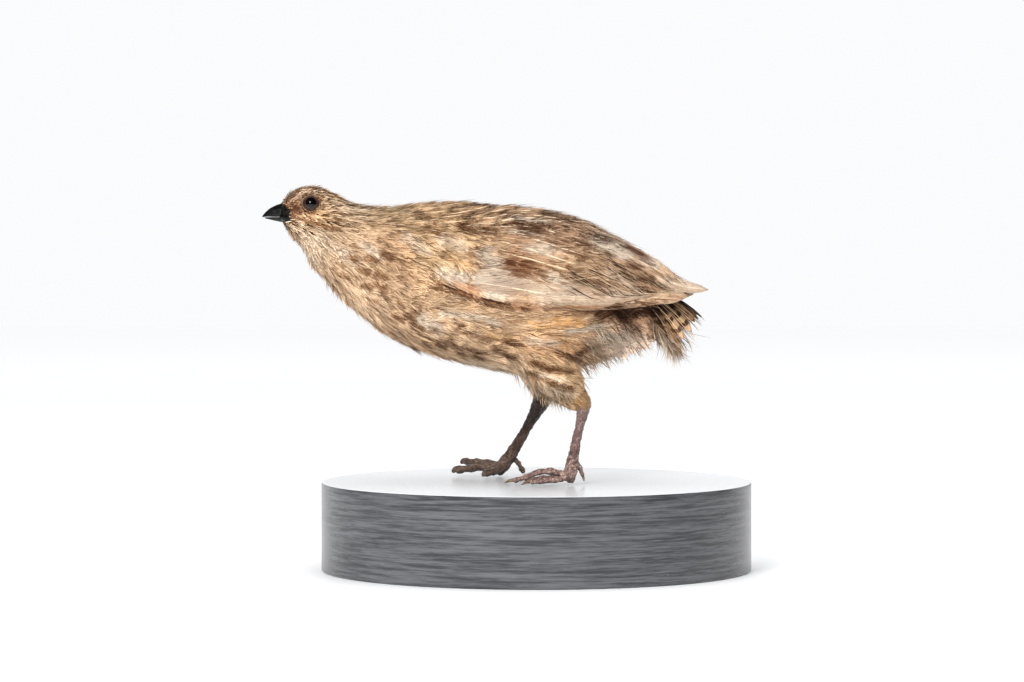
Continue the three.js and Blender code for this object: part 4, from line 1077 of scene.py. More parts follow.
def coat_lie(points, normals, nearest, turn_degrees, on_face, unrest):
    """The lie of the coat: back along the body, turned down on the flanks, and parted round the eye."""
    turn = np.radians(turn_degrees + rng.normal(0, unrest, len(points)) + 11 * drift(points, 13.0, 1))
    lie = AXIS_BACK[nearest] * np.cos(turn)[:, None] - UP * np.sin(turn)[:, None]
    lie = lie + rng.normal(0, 0.08, lie.shape)
    lie = unit(lie - normals * (lie * normals).sum(1, keepdims=True))
    from_eye = (points - EYE_AT) * np.array([1, 0, 1])
    gap = np.linalg.norm(from_eye, axis=1, keepdims=True)
    radial = from_eye / np.maximum(gap, 1e-6)
    inward = (lie * radial).sum(1, keepdims=True)
    parted = (inward < 0) & (gap < PARTED_ROUND_EYE) & on_face[:, None]
    strength = np.clip((PARTED_ROUND_EYE - gap) / 2.2, 0, 1.15)
    return unit(np.where(parted, lie - radial * inward * strength, lie))


def bare(points, share):
    """Where no feathers grow: the eye and the horn of the face."""
    x, y, z = points.T
    eye = (np.hypot(x - EYE_AT[0], z - EYE_AT[2]) < BARE_ROUND_EYE) & (np.abs(y) > 4) & (share < 0.2)
    return eye | ((x < -83.7) & (z > 118.4) & (z < 124.5 + (-86.2 - x) * 0.95))


def over_wing_front(points):
    """The wing's shoulder, which the side feathers of the neck and breast cover."""
    x, z = points[:, 0], points[:, 2]
    return (x < np.interp(z, [103, 106, 112, 120], [-33, -26, -18, -14])) & (z > 103)


def grown(tree, roots, normals, *, scale=1.0, unrest=7.0, extra=0.0, zones=BODY_ZONES, broad=0.7):
    """Feathers' paths, sizes and looks from roots on a surface."""
    share, _, nearest = body_place(roots)
    _, _, sizes = zone_traits(zones, roots)
    lie = coat_lie(roots, normals, nearest, sizes[:, TURN], share < 0.22, unrest)
    count = len(roots)
    lengths = sizes[:, LENGTH] * scale * rng.uniform(0.8, 1.25, count)
    paths, path_normals = surface_walk(tree, roots, normals, lie, lengths, broad)
    ground, mark, traits = zone_traits(zones, paths[:, 3])
    tone = 1 + 0.17 * drift(paths[:, 3], 7.0, 2)[:, None] + rng.normal(0, 0.1, (count, 1))
    widths = sizes[:, WIDTH] * rng.uniform(0.8, 1.2, count)
    lifts = sizes[:, LIFT] * rng.uniform(0.75, 1.25, count) + extra
    return {"path": paths, "lie": path_normals, "width": widths, "lift": lifts, "share": share,
            "looks": looks_of(ground * tone, mark, traits, lengths), "unwrap": unwrap_place(roots)}


def chosen(feathers, held):
    """Some of the feathers."""
    return {key: {k: rows[held] for k, rows in value.items()} if key == "looks" else value[held]
            for key, value in feathers.items()}


PATCH = 0.003  # side of one feather's patch in the bake's unwrap


def coat(name, vanes, feathers, finish=body_feather, **laying):
    """One joined mesh of feathers along their paths, each of the vanes in turn."""
    count = len(feathers["path"])
    parts, start = [], 0
    for k, vane in enumerate(vanes):
        held = np.arange(k, count, len(vanes))
        own_laying = {key: np.broadcast_to(value, count)[held] for key, value in laying.items()}
        part = laid_feathers(vane, chosen(feathers, held), **own_laying)
        part["faces"] = part["faces"] + start
        start += len(part["points"])
        parts.append(part)
    whole = {key: np.concatenate([part[key] for part in parts]) for key in parts[0]}
    piece = quad_piece(name, whole["points"], whole["faces"])
    mesh = piece.data
    for key in feathers["looks"]:
        colour_layer(mesh, key, whole[key])
    corners = corners_of(mesh)
    tiled = whole["vane"][corners]
    uv_layer(mesh, "Vane", tiled)
    uv_layer(mesh, "OFBake", whole["home"][corners] + (tiled - 0.5) * PATCH)
    smooth_faces(mesh)
    return finished(piece, finish, "plumage")


# The parts of the body's coat, by share of the body's length from the bill.
HEAD_END = 0.17
BODY_PARTS = {"coat_head": (0, HEAD_END), "coat_neck": (HEAD_END, 0.34), "coat_breast": (0.34, 0.5),
              "coat_flank": (0.5, 0.7), "coat_rear": (0.7, 1.1)}


def body_coat():
    """The feathers of the body, grown together and joined part by part."""
    roots, normals = scattered(form, body_gap)
    share, angle, _ = body_place(roots)
    turn = np.degrees(np.abs(angle))
    winged, _ = in_wing(roots)
    x, z = roots[:, 0], roots[:, 2]
    on_top = turn < 40
    covered = winged & ~on_top & ~over_wing_front(roots)
    by_edge = in_wing(roots, -4.5)[0] & ~on_top & (x > 8)
    keep = ~bare(roots, share) & ~covered & ~by_edge & ~(winged & (x > 30)) & (x < 38)
    roots, normals, winged, turn, x, z = (rows[keep] for rows in (roots, normals, winged, turn, x, z))
    mantle = ramp(z - 114, 4) * np.interp(x, [-54, -40, -14, 0], [0, 0.7, 0.7, 0.2])
    vent = ramp(x - 20, 6) * ramp(89 - z, 3)
    before_wing = ramp(x + 46, 9) * (x < -31) * np.clip(1 - np.abs(z - 98) / 9, 0, 1)
    extra = winged * np.interp(x, [-33, -20], [0.4, 1.4]) - 0.5 * chin_share(roots) + mantle
    scale = np.interp(x, [24, 38], [1.0, 0.6]) * (1 - 0.62 * before_wing)
    body = grown(form_tree, roots, normals, extra=extra, scale=scale, unrest=7 + 15 * vent)
    body["lift"] = body["lift"] + vent * rng.uniform(-0.4, 1.6, len(roots))
    # Painted light: the vent's colours lightened at random by up to 2.3 times, to lift the shade on this
    # underside.
    body["looks"]["ground"][:, :3] *= 1 + vent[:, None] * rng.uniform(-0.1, 1.3, (len(roots), 1))
    for name, (first, last) in BODY_PARTS.items():
        held = (body["share"] >= first) & (body["share"] < last)
        count = held.sum()
        curled = (rng.random(count) < 0.1 + 0.4 * vent[held]) & (turn[held] > 75)
        curls = np.where(curled, rng.uniform(2.0, 8.0, count), 0)
        if name == "coat_head":
            coat(name, FACE, chosen(body, held), curl=curls * 0.3)
        else:
            coat(name, CONTOURS, chosen(body, held), curl=curls)


def under_wing():
    """Flank feathers that come out from under the wing's lower edge."""
    roots, normals = scattered(skin, lambda points: body_gap(points) * 0.9)
    inside, above = in_wing(roots, -1.0)
    keep = inside & (above < 9) & (np.abs(roots[:, 1]) > 8)
    coat("coat_under_wing", CONTOURS, grown(skin_tree, roots[keep], normals[keep]))


def warm_tones(ground, tone):
    """The colours made lighter or darker, warmer where darker."""
    return ground * np.column_stack([tone, tone ** 1.2, tone ** 1.45, np.ones_like(tone)])


def loose_barbs():
    """Single fine barbs and hair-like tips that lie over the coat."""
    roots, normals = scattered(form, lambda points: np.clip(body_gap(points) * 0.5, 0.34, 1.0), tries=8)
    share, _, _ = body_place(roots)
    winged, above = in_wing(roots)
    keep = ~bare(roots, share) & (roots[:, 0] < np.where(winged, 44, 38)) & ~(winged & (above < 7))
    for name, zones, held in (("loose_barbs", BODY_ZONES, keep & ~winged),
                              ("loose_wing_barbs", WING_ZONES, keep & winged)):
        at = roots[held]
        count = len(at)
        on_face = (share[held] < HEAD_END) & (at[:, 2] > 115)
        over = np.where(on_face, 0.3, 0.2)
        if zones is WING_ZONES:
            over = np.interp(at[:, 0], [-30, -20, 20, 40], [1.2, 2.2, 1.9, 1.2])
        from_eye = np.hypot(at[:, 0] - EYE_AT[0], at[:, 2] - EYE_AT[2])
        scale = rng.uniform(0.4, 0.8, count) * np.where(on_face, np.interp(from_eye, [4, 7], [0.8, 1.9]), 1)
        hairs = grown(form_tree, at, normals[held], scale=scale, unrest=13.0, extra=over, zones=zones)
        looks = hairs["looks"]
        hairs["width"] = rng.uniform(0.18, 0.42, count) * np.where(on_face, 1.35, 1)
        hairs["lift"] = hairs["lift"] + np.where(rng.random(count) < 0.2, rng.uniform(0.2, 0.9, count), 0)
        mottle = zone_traits(zones, at)[2][:, MOTTLE]
        dark = rng.random(count) < np.where(on_face, 0.4, 0.16 + 0.66 * mottle)
        deep = np.where(on_face, 0.05, 0.42 - 0.45 * mottle)
        tone = np.where(dark, deep + rng.uniform(0, 0.34, count), rng.uniform(1.05, 1.4, count))
        looks["ground"] = warm_tones(looks["ground"], tone)
        looks["pattern"] = looks["pattern"] * np.array([0.2, 0, 0, 1])
        looks["trait"] = looks["trait"] * np.array([0, 1, 0.2, 1])
        coat(name, HAIR, hairs, cup=0.0, sunk=0.0, slope=0.5)


body_coat()
under_wing()


# Wings

CORE_END = 51
CORE_THICKNESS = 1.2


def wing_core(name, side):
    """The wing's body under its feathers: a shell within the wing's outlines."""
    held = WING_X < CORE_END
    rows, columns = held.sum(), 30
    x = np.repeat(WING_X[held, None], columns, 1)
    t = np.linspace(0, 1, columns)[None]
    degrees = WING_EDGES[held, :1] * (1 - t) + WING_EDGES[held, 1:] * t
    sink = 1.8 * np.exp(-t / 0.14) + 1.7 * ramp(-22 - x, 8) * (1 - t) ** 0.4
    outer, out = sheath(x, degrees, side, -0.5 - sink)
    inner = outer - out * CORE_THICKNESS
    points = np.concatenate([outer.reshape(-1, 3), inner.reshape(-1, 3)])
    under = rows * columns
    grid = np.arange(under).reshape(rows, columns)
    quads = []
    for i in range(rows - 1):
        for j in range(columns - 1):
            a, b, c, d = grid[i, j], grid[i + 1, j], grid[i + 1, j + 1], grid[i, j + 1]
            quads += [(a, b, c, d), (a + under, d + under, c + under, b + under)]
    ring = [*grid[0], *grid[1:, -1], *grid[-1, -2::-1], *grid[-2:0:-1, 0]]
    quads += [(b, a, a + under, b + under) for a, b in zip(ring, ring[1:] + ring[:1])]
    piece = joined_piece(name, [(points, quads)])
    unwrap_skin(piece)
    return finished(piece, down, "plumage")


# The wing's rows of long feathers: how many, x of roots and of tips from the inner one to the outer one, extra
# reach in the middle of the row, angles round the body at roots and tips (or, with no second one, the angle
# above the wing's lower edge), sag of the tips, width, lift, shaft.
WING_ROWS = {
    "edge_shade": (15, (18, -32.5), (31, -24), 0, -0.8, None, 0, 1.9, -0.3, 0.1),
    "primaries": (9, (10, 0), (52, 37), 0, (88, 97), (89, 102), 0, 5.2, 0.1, 0.6),
    "secondaries": (15, (4, -14), (45, 27), 11, (36, 95), (34, 99), 9, 6, 0.5, 0.8),
    "greater_coverts": (17, (-10, -22), (17, 5), 4, (34, 94), (38, 97), 6, 5, 0.8, 0.9),
    "tertials": (3, (14, 6), (57.8, 48.6), 0, (62, 74), (66, 72), 0, 5.4, 1.1, 0.4),
    "edge_coverts": (21, (14, -31.8), (29, -21), 0, 2, None, 0, 2.2, 1.2, 0.6),
}


ROW_STEPS = 9
along_row = np.linspace(0, 1, ROW_STEPS)[None]


def feather_row(path, out, zones, widths, shaft=None):
    """The feathers of one row, along given paths."""
    count = len(path)
    lengths = np.linalg.norm(path[:, -1] - path[:, 0], axis=1)
    ground, mark, traits = (a.reshape(count, ROW_STEPS, -1) for a in zone_traits(zones, path.reshape(-1, 3)))
    traits = traits[:, 6].copy()
    if shaft is not None:
        traits[:, SHAFT] = shaft
    return {"path": path, "lie": out, "width": widths, "lift": np.zeros(count),
            "unwrap": unwrap_place(path[:, 0]), "looks": looks_of(ground, mark, traits, lengths, 0.2)}


def wing_row(name, side):
    """The feathers of one of the wing's rows."""
    count, root, tip, reach, at, end, sag, width, lift, shaft = WING_ROWS[name]
    t = np.linspace(0, 1, count)[:, None]
    s = along_row
    tips = tip[0] + (tip[1] - tip[0]) * t + reach * np.sin(t * math.pi) + rng.uniform(-1.2, 1.2, t.shape)
    x = (root[0] + (root[1] - root[0]) * t) * (1 - s) + tips * s
    if end is None:
        above = at + (2.5 * (1 - s) if at > 0 else 0) + rng.uniform(0, 1.2, t.shape)
        degrees = np.interp(x, WING_X, WING_EDGES[:, 1]) - above
    else:
        start = at[0] + (at[1] - at[0]) * t
        stop = end[0] + (end[1] - end[0]) * t + sag * np.sin(t * math.pi) + rng.normal(0, 1.2, t.shape)
        degrees = start + (stop - start) * s ** 1.4
    over = lift + 0.5 * (1 - t) + (0.35 + rng.uniform(-0.15, 0.25, t.shape)) * s
    if end is None:
        over = over - (1.2 if at > 0 else 0.4) * ramp(-12 - x, 16)
    path, out = sheath(x, degrees, side, np.broadcast_to(over, x.shape))
    return feather_row(path, out, WING_ZONES, width * rng.uniform(0.9, 1.1, count), shaft)


def sheath_angle(points):
    """The angles round the closed wings at points near their surface, in degrees."""
    top, bottom, half = sheath_size(points[:, 0])
    height = (points[:, 2] - (top + bottom) / 2) / ((top - bottom) / 2)
    return np.degrees(np.arctan2(np.abs(points[:, 1]) / half, height))


VANE_THICKNESS = 0.14


def thickened(piece):
    solid = piece.modifiers.new("thickness", "SOLIDIFY")
    solid.thickness = VANE_THICKNESS * MM
    solid.offset = -1
    apply_modifiers(piece)


SMALL_ROWS = {"greater_coverts", "edge_coverts", "edge_shade"}
SHADE = linear(74, 46, 28)  # the dark under the wing's lower edge


def make_wing(name, side):
    core = wing_core("wing_core_" + name, side)
    for row in WING_ROWS:
        feathers = wing_row(row, side)
        if row == "edge_shade":
            count = len(feathers["path"])
            feathers["looks"]["ground"][..., :3] = np.array(SHADE) * rng.uniform(0.5, 1.2, (count, 1, 1))
        vanes = COVERT if row in SMALL_ROWS else FLIGHT
        piece = coat(f"{row}_{name}", vanes, feathers, flight_feather, cup=0.05, sunk=0.6, roll=-0.12 * side,
                     jitter=0.03)
        if vanes is FLIGHT:
            thickened(piece)
    roots, normals = scattered(core, wing_gap)
    degrees = sheath_angle(roots)
    out = roots - np.array([0, 0, 95.0])
    outward = (out * np.array([0, 1, 1]) * normals).sum(1) > 0
    behind = np.interp(degrees, [0, 40, 58, 70, 84, 100], [52, 52, 46, 30, 8, -4])
    keep = outward & (roots[:, 0] < behind) & ~over_wing_front(roots + np.array([3.0, 0, 0]))
    roots, normals = roots[keep], normals[keep]
    fade = np.interp(roots[:, 0], [18, 36, 48], [1.0, 0.75, 0.5])
    over = np.interp(roots[:, 0], [-32, -24, -12, 10, 36], [0.8, 0.9, 1.1, 1.5, 1.1])
    small = grown(form_tree, roots, normals, scale=fade, zones=WING_ZONES, extra=over, unrest=9.0, broad=0.35)
    piece = coat("coverts_" + name, CONTOURS, small, sunk=0.6)
    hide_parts("wing_" + name)


for name, side in SIDES.items():
    make_wing(name, side)
loose_barbs()


# Tail

def tail_sheet(along, across):
    """Points on the tail's upper sheet, along from its root to its tips and across from -1 to 1."""
    bend = 0.35 * along + 0.65 * along ** 2
    spread = across ** 2
    return np.stack([33 + (22.8 - 6.6 * spread) * along, across * (5 + 6.5 * along),
                     97.2 - 3.5 * spread - (11.6 + 9.4 * spread) * bend], -1)


def under_sheet(along, across):
    """The same for the sheet of the coverts under the tail."""
    return np.stack([37 + (15 - 3 * across ** 2) * along, across * (5.5 + 3.5 * along),
                     83 + 3 * across ** 2 - 12.6 * along], -1)


# Rows of tail feathers: sheet, how many, spread, from and to along the sheet, width, lift, kind.
TAIL_ROWS = {
    "tail_feathers": (tail_sheet, 12, 1.02, 0, 1, 4.4, 0, FLIGHT),
    "tail_coverts": (tail_sheet, 11, 0.85, -0.15, 0.55, 4.2, 0.8, COVERT),
    "under_tail_coverts": (under_sheet, 12, 1, 0, 1, 3.2, 0, CONTOURS),
    "under_tail_sides": (under_sheet, 10, 1.05, -0.2, 0.72, 3.2, -0.8, CONTOURS),
}


def out_of_sheet(sheet, path, along, across, way=1):
    """The directions out of a sheet along paths on it, up or, for -1, down."""
    sideways = sheet(along, across + 0.02) - path
    return turned(unit(np.cross(np.gradient(path, axis=1), sideways)), 2, way)


def make_tail():
    for name, (sheet, count, spread, first, last, width, lift, vanes) in TAIL_ROWS.items():
        above = sheet is tail_sheet
        across = np.linspace(-spread, spread, count)[:, None] + rng.normal(0, 0.02, (count, 1))
        ends = last - 0.08 * rng.random((count, 1))
        along = first + (ends - first) * along_row
        path = sheet(along, np.broadcast_to(across, along.shape))
        out = out_of_sheet(sheet, path, along, across, 1 if above else -1)
        path = path + out * (lift + 0.5 * (1 - np.abs(across)))[..., None]
        feathers = feather_row(path, out, TAIL_ZONES, np.full(count, width))
        roll = np.sign(across[:, 0]) * (-0.12 if above else 0.0)
        piece = coat(name, vanes, feathers, flight_feather, cup=0.05, sunk=0.3, roll=roll, jitter=0.05)
        if vanes is FLIGHT:
            thickened(piece)
            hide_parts("tail")


make_tail()


# Loose barbs and strands

def barbs_along(path, out, ground, lengths):
    """Single barbs along given paths, all but their widths."""
    count = len(path)
    looks = looks_of(ground, ground * 0.5, np.tile([0.2, 0, 0, 0, 0.0], (count, 1)), lengths)
    return {"path": path, "lie": out, "lift": np.zeros(count), "looks": looks,
            "unwrap": unwrap_place(path[:, 0])}


def strands(name, path, out, colours, widths):
    """One piece of single barbs in screen colours, along given paths."""
    ground = np.array([linear(*colour) for colour in colours])
    feathers = barbs_along(path, out, ground, np.linalg.norm(path[:, -1] - path[:, 0], axis=1))
    coat(name, HAIR, {**feathers, "width": widths}, cup=0.0, sunk=0.0)


TAIL_STRANDS = 110
TAIL_STRAND_COLOURS = [(30, 18, 12), (52, 32, 20), (204, 164, 116), (222, 184, 152), (214, 176, 136)]
TAIL_STRAND_SHARES = [0.3, 0.25, 0.2, 0.12, 0.13]


def tail_strands():
    count = TAIL_STRANDS
    across = rng.uniform(-1.05, 1.05, (count, 1))
    first = rng.uniform(0.3, 0.75, (count, 1))
    last = first + rng.uniform(0.25, 0.5, (count, 1))
    along = first + (np.minimum(last, 1.06) - first) * np.linspace(0, 1, 5)[None]
    path = tail_sheet(along, across + rng.normal(0, 0.06, (count, 1)) * along)
    out = out_of_sheet(tail_sheet, path, along, across)
    path = path + out * rng.uniform(0.1, 0.8, (count, 1, 1))
    colours = [TAIL_STRAND_COLOURS[i] for i in rng.choice(5, count, p=TAIL_STRAND_SHARES)]
    strands("tail_strands", path, out, colours, rng.uniform(0.25, 0.6, count))


# Dark slits and pale barbs or shafts that slant across the folded flight feathers: how many, from and to x,
# lengths, slant in degrees, widths, colours.
WING_STRANDS = {
    "wing_slits": (200, (16, 48), (2.2, 4.6), 38, (0.12, 0.28),
                   [(70, 42, 26), (96, 62, 38), (122, 84, 54), (228, 202, 168)]),
    "wing_shafts": (46, (8, 38), (9, 17), 27, (0.2, 0.42), [(226, 200, 168), (66, 42, 28), (92, 60, 38)]),
}


def wing_strands(name, count, reach, long, lean, wide, palette):
    x = rng.uniform(*reach, count)
    low = lookup(WING_LOW, x)
    high = np.interp(x, [16, 30, 40, 50], [107, 105, 101, 97])
    z = low + 2.4 + (high - low - 2.4) * rng.random(count)
    s = np.linspace(0, 1, 7)[None]
    paths, outs = [], []
    for side in SIDES.values():
        lengths = rng.uniform(*long, (count, 1))
        slant = np.radians(rng.normal(lean, 5, (count, 1)))
        at_x = x[:, None] + np.cos(slant) * lengths * s
        at_z = np.maximum(z[:, None] - np.sin(slant) * lengths * s, lookup(WING_LOW, at_x) + 1.0)
        top, bottom, _ = sheath_size(at_x)
        degrees = np.degrees(np.arccos(np.clip((at_z - (top + bottom) / 2) / ((top - bottom) / 2), -1, 1)))
        over = np.broadcast_to(rng.uniform(1.6, 2.5, (count, 1)), at_x.shape)
        path, out = sheath(at_x, degrees, side, over)
        paths.append(path)
        outs.append(out)
    colours = [palette[i] for i in rng.choice(len(palette), 2 * count)]
    strands(name, np.concatenate(paths), np.concatenate(outs), colours, rng.uniform(*wide, 2 * count))


tail_strands()
for name, row in WING_STRANDS.items():
    wing_strands(name, *row)

# Long loose barbs: where they grow (x, z), reaches, how many, length, droop, colour.
WISPS = [
    ((40, 80), (9, 4), 420, 8, 50, (234, 216, 196)),
    ((28, 77.5), (7, 2.5), 620, 5.5, 44, (240, 222, 202)),
    ((24.5, 79.5), (7, 3.5), 420, 5.5, 40, (240, 218, 192)),
    ((36.5, 81.5), (4, 5), 360, 5, 45, (236, 208, 182)),
    ((34, 84), (8, 4), 520, 6, 40, (120, 86, 58)),
    # Dark wisps just under the wing's lower edge: partly the brown fluff there, partly painted shadow cast by
    # the wing.
    ((30, 89), (8, 2), 300, 6, 24, (66, 42, 28)),
    ((44, 80), (6, 5), 160, 7, 55, (196, 156, 120)),
    ((18, 75), (6, 5), 520, 6, 34, (214, 182, 150)),
    ((8, 62), (5, 4), 620, 5, 52, (212, 184, 152)),
    ((-4, 66), (8, 3), 300, 6, 30, (206, 178, 146)),
    ((-3, 65), (4, 5), 420, 6, 54, (226, 202, 176)),
    ((3, 60), (4, 4), 260, 5, 62, (222, 196, 166)),
    ((-83.3, 121), (1.4, 3.6), 260, 2, 34, (22, 16, 14)),
    ((-83.2, 120.8), (1.4, 3.8), 260, 1.9, 30, (140, 96, 62)),
    ((-77.5, 105.6), (3, 4), 170, 3.6, 64, (222, 192, 164)),
    ((-68, 96), (5, 6), 190, 4.2, 52, (176, 146, 118)),
    ((-84.9, 124.5), (1.2, 0.8), 40, 1.5, 192, (150, 116, 84)),
    ((-84.9, 124.3), (1.2, 0.8), 24, 1.4, 190, (64, 46, 36)),
    ((-84.2, 117.4), (2.2, 0.8), 90, 2, 62, (110, 94, 84)),
    ((-82, 116), (3, 1.6), 160, 2.8, 62, (206, 160, 124)),
]


STEM_FROM = 36  # x from which wisps grow on the tail's stem and not on the skin


def make_wisps():
    roots, lengths, directions, colours = [], [], [], []
    stem = merged_copy("tail_stem", ["tail"])
    stem_tree = tree_of(stem)
    for (x, z), (wide, high), count, length, droop, colour in WISPS:
        for _ in range(count):
            side = -1 if rng.random() < 0.5 else 1
            reach = 5 if x < -60 else 30
            at = np.array([rng.normal(x, wide / 2), side * rng.uniform(0.07, 1) * reach,
                           rng.normal(z, high / 2)])
            tree = stem_tree if at[0] > STEM_FROM else skin_tree
            found, normal = (np.array(vector) for vector in tree.find_nearest(Vector(at * MM))[:2])
            roots.append(found / MM + normal * (0.6 if -84 < x < -83 else 0))
            lean = math.radians(droop + rng.normal(0, 14))
            ahead = np.array([math.cos(lean), side * rng.uniform(0, 0.25), -math.sin(lean)])
            directions.append(unit(ahead + normal * rng.uniform(0.1, 0.45)))
            lengths.append(length * rng.uniform(0.5, 1.25))
            colours.append(np.array(linear(*colour)) * rng.uniform(0.45, 1.15))
    bpy.data.objects.remove(stem)
    roots, lengths, heading, ground = map(np.array, (roots, lengths, directions, colours))
    count = len(roots)
    path = np.empty((count, WALK_STEPS + 1, 3))
    path[:, 0] = roots
    bend = rng.normal(0, 0.12, (count, 3)) + np.array([0.05, 0, -0.12])
    for k in range(WALK_STEPS):
        path[:, k + 1] = path[:, k] + heading * (lengths / WALK_STEPS)[:, None]
        heading = unit(heading + bend)
    chord = path[:, -1] - path[:, 0]
    out = np.broadcast_to(unit(np.cross(chord, np.array([0, 1.0, 0.2])))[:, None], path.shape).copy()
    face = unit(np.cross(out[:, 0], unit(chord)))
    turn = rng.random(count)[:, None] * 0.8
    out = unit(out * (1 - turn[..., None]) + face[:, None] * turn[..., None])
    wisps = barbs_along(path, out, ground, lengths)
    wisps["width"] = rng.uniform(0.18, 0.46, count)
    coat("wisps", HAIR, wisps, cup=0.0, sunk=0.0)


make_wisps()
bpy.data.objects.remove(form)


# Bill

# The upper and lower bill from the root to the tip: x, cutting edge, height and half width.
UPPER_BILL = [
    (-82, 119.9, 4.6, 3.1), (-85.4, 119.9, 4.7, 2.9), (-87.2, 119.85, 4.35, 2.6), (-88.9, 119.85, 3.7, 2.15),
    (-90.6, 119.9, 2.7, 1.6), (-91.9, 119.85, 1.55, 1), (-92.7, 119.75, 0.75, 0.5), (-93, 119.65, 0.3, 0.15),
]
LOWER_BILL = [
    (-82, 119.75, -2.1, 2.8), (-85.4, 119.75, -1.85, 2.5), (-87.2, 119.75, -1.55, 2.1),
    (-88.9, 119.75, -1.2, 1.55), (-90.6, 119.75, -0.8, 1), (-91.7, 119.7, -0.5, 0.55),
    (-92.2, 119.65, -0.2, 0.2),
]
BILL_SIDES = 26


def bill_half(rows, ridge):
    """Half of the bill: an arch over the cutting edge, pinched to a ridge, with a closed flat underside."""
    angle = np.linspace(0, math.pi, BILL_SIDES)
    rings = []
    for x, edge, height, half in smooth_rows(rows, 40):
        across = np.cos(angle) * half * (1 - 0.12 * np.sin(2 * angle) ** 2)
        arch = np.column_stack([np.full(BILL_SIDES, x), across, edge + np.sin(angle) ** ridge * height])
        inward = np.linspace(-half, half, 8)[1:-1]
        floor = np.column_stack([np.full(6, x), inward, np.full(6, edge + 0.12 * np.sign(height))])
        rings.append(np.vstack([arch, floor]))
    return lofted(rings)


def swell(points, at, size, height):
    """Points pushed outwards over a soft round area on the bill."""
    offset = (points - np.array(at)) / np.array(size)
    amount = np.exp(-2 * (offset ** 2).sum(1))
    points = points.copy()
    points[:, 1] += np.sign(points[:, 1]) * amount * height
    return points


def make_bill(finish):
    points, faces = bill_half(UPPER_BILL, 0.78)
    for side in (-1, 1):
        points = swell(points, (-87.3, side * 2.2, 122.5), (1.7, 1.4, 0.9), 0.45)
        points = swell(points, (-88.1, side * 2.1, 121.7), (1.2, 1.2, 0.32), -0.45)
    finished(joined_piece("upper_bill", [(points, faces)]), finish, "horn", "bill_upper")
    finished(joined_piece("lower_bill", [bill_half(LOWER_BILL, 0.9)]), finish, "horn", "bill_lower")


# The horn goes on back round the root of the bill, furthest at the corners of the mouth: degrees down from the
# top, and how far it opens out there from the bill's line, in degrees.
FACE_HORN = [(0, 38), (35, 44), (68, 57), (90, 70), (100, 75), (108, 71), (120, 53), (140, 40), (180, 33)]
HORN_RINGS, HORN_TURNS = 22, 120
HORN_MIDDLE = np.array([-80.0, 0.0, 120.6])
HORN_LEAST, HORN_OUTSIDE = 3.0, 14  # distances from its middle: where no skin is found, and outside the head
HORN_DROP = 0.06  # the most by which one ring lies nearer to the middle than the next one back
HORN_EDGE, HORN_RISE, HORN_DEPTH = 0.08, 0.5, 0.7  # over the skin at its edge, more within it, and under it


def make_face_horn(finish):
    turns = circle(HORN_TURNS)
    down = np.degrees(np.abs((turns + math.pi) % (2 * math.pi) - math.pi))
    opening = lookup(FACE_HORN, down) + 2.4 * np.sin(turns * 13) + 1.8 * np.sin(turns * 29 + 1)
    parts = np.linspace(0.03, 1, HORN_RINGS)[:, None]
    wide = np.radians(opening * parts)
    rays = np.stack([-np.cos(wide), np.sin(wide) * np.sin(turns), np.sin(wide) * np.cos(turns)], -1)
    reach = np.full((HORN_RINGS + 1, HORN_TURNS), HORN_LEAST + HORN_DROP)
    for k in range(HORN_RINGS - 1, -1, -1):
        for t, ray in enumerate(rays[k]):
            found = skin_tree.ray_cast(Vector((HORN_MIDDLE + ray * HORN_OUTSIDE) * MM), Vector(-ray))[0]
            met = HORN_LEAST if found is None else np.linalg.norm(np.array(found) / MM - HORN_MIDDLE)
            reach[k, t] = max(met, reach[k + 1, t] - HORN_DROP)
    reach = reach[:HORN_RINGS]
    raised = (reach + HORN_EDGE + HORN_RISE * np.clip((1 - parts) * 6, 0, 1))[..., None]
    outer, inner = HORN_MIDDLE + rays * raised, HORN_MIDDLE + rays * (reach[..., None] - HORN_DEPTH)
    finished(joined_piece("face_horn", [lofted([*outer, *inner[::-1]])]), finish, "horn")


def horn_finish():
    finish = Finish("black horn")
    place = finish.place()
    long = finish.noise(finish.stretch(place, (0.35, 1, 1)), 1500.0, 4.0)
    fine = finish.noise(place, 3000.0, 3.0)
    colour = finish.mix(long.step(0.4, 0.7), linear(5, 5, 5), linear(20, 18, 18))
    return finish.surface(colour=colour, roughness=0.3 + fine * 0.28, specular=0.26, coat=0.05,
                          coat_roughness=0.15, normal=finish.bump(long + fine * 0.5, 0.0002, 0.9))


horn = horn_finish()
make_bill(horn)
make_face_horn(horn)


# Eyes and lids

def gaze_frame(side):
    """The eye's centre, the way it looks, and the ways along the head and up across it."""
    mirror = np.array([1, side, 1])
    look = EYE_LOOK * mirror
    along = unit(np.cross(look, UP))
    return EYE_AT * mirror, look, along, np.cross(along, look)


def make_eye(name, side, finish):
    centre, look, along, up = gaze_frame(side)
    turn = circle(48)[:, None]
    rings = []
    for polar in np.linspace(0.04, math.pi - 0.04, 40):
        bulge = 1 + 0.035 * math.exp(-((polar / 0.55) ** 2))
        ball = look * math.cos(polar) + (along * np.cos(turn) + up * np.sin(turn)) * math.sin(polar)
        rings.append(centre + ball * EYE_RADIUS * bulge)
    piece = joined_piece("glass_eye_" + name, [lofted(rings)])
    gaze = (unit(points_of(piece) - centre) * look).sum(1)
    colour_layer(piece.data, "gaze", np.column_stack([gaze] * 3 + [np.ones(len(gaze))]))
    finished(piece, finish, "eye", "eye_" + name)


def eye_finish():
    finish = Finish("glass eye")
    gaze = finish.attribute("gaze").part(0)
    iris = finish.mix(gaze.step(0.68, 0.8), linear(22, 12, 10), linear(66, 38, 32))
    colour = finish.mix(gaze.step(0.8, 0.83), iris, linear(5, 4, 5))
    return finish.surface(colour=colour, roughness=0.14, specular=0.22, coat=0.3, coat_roughness=0.015)


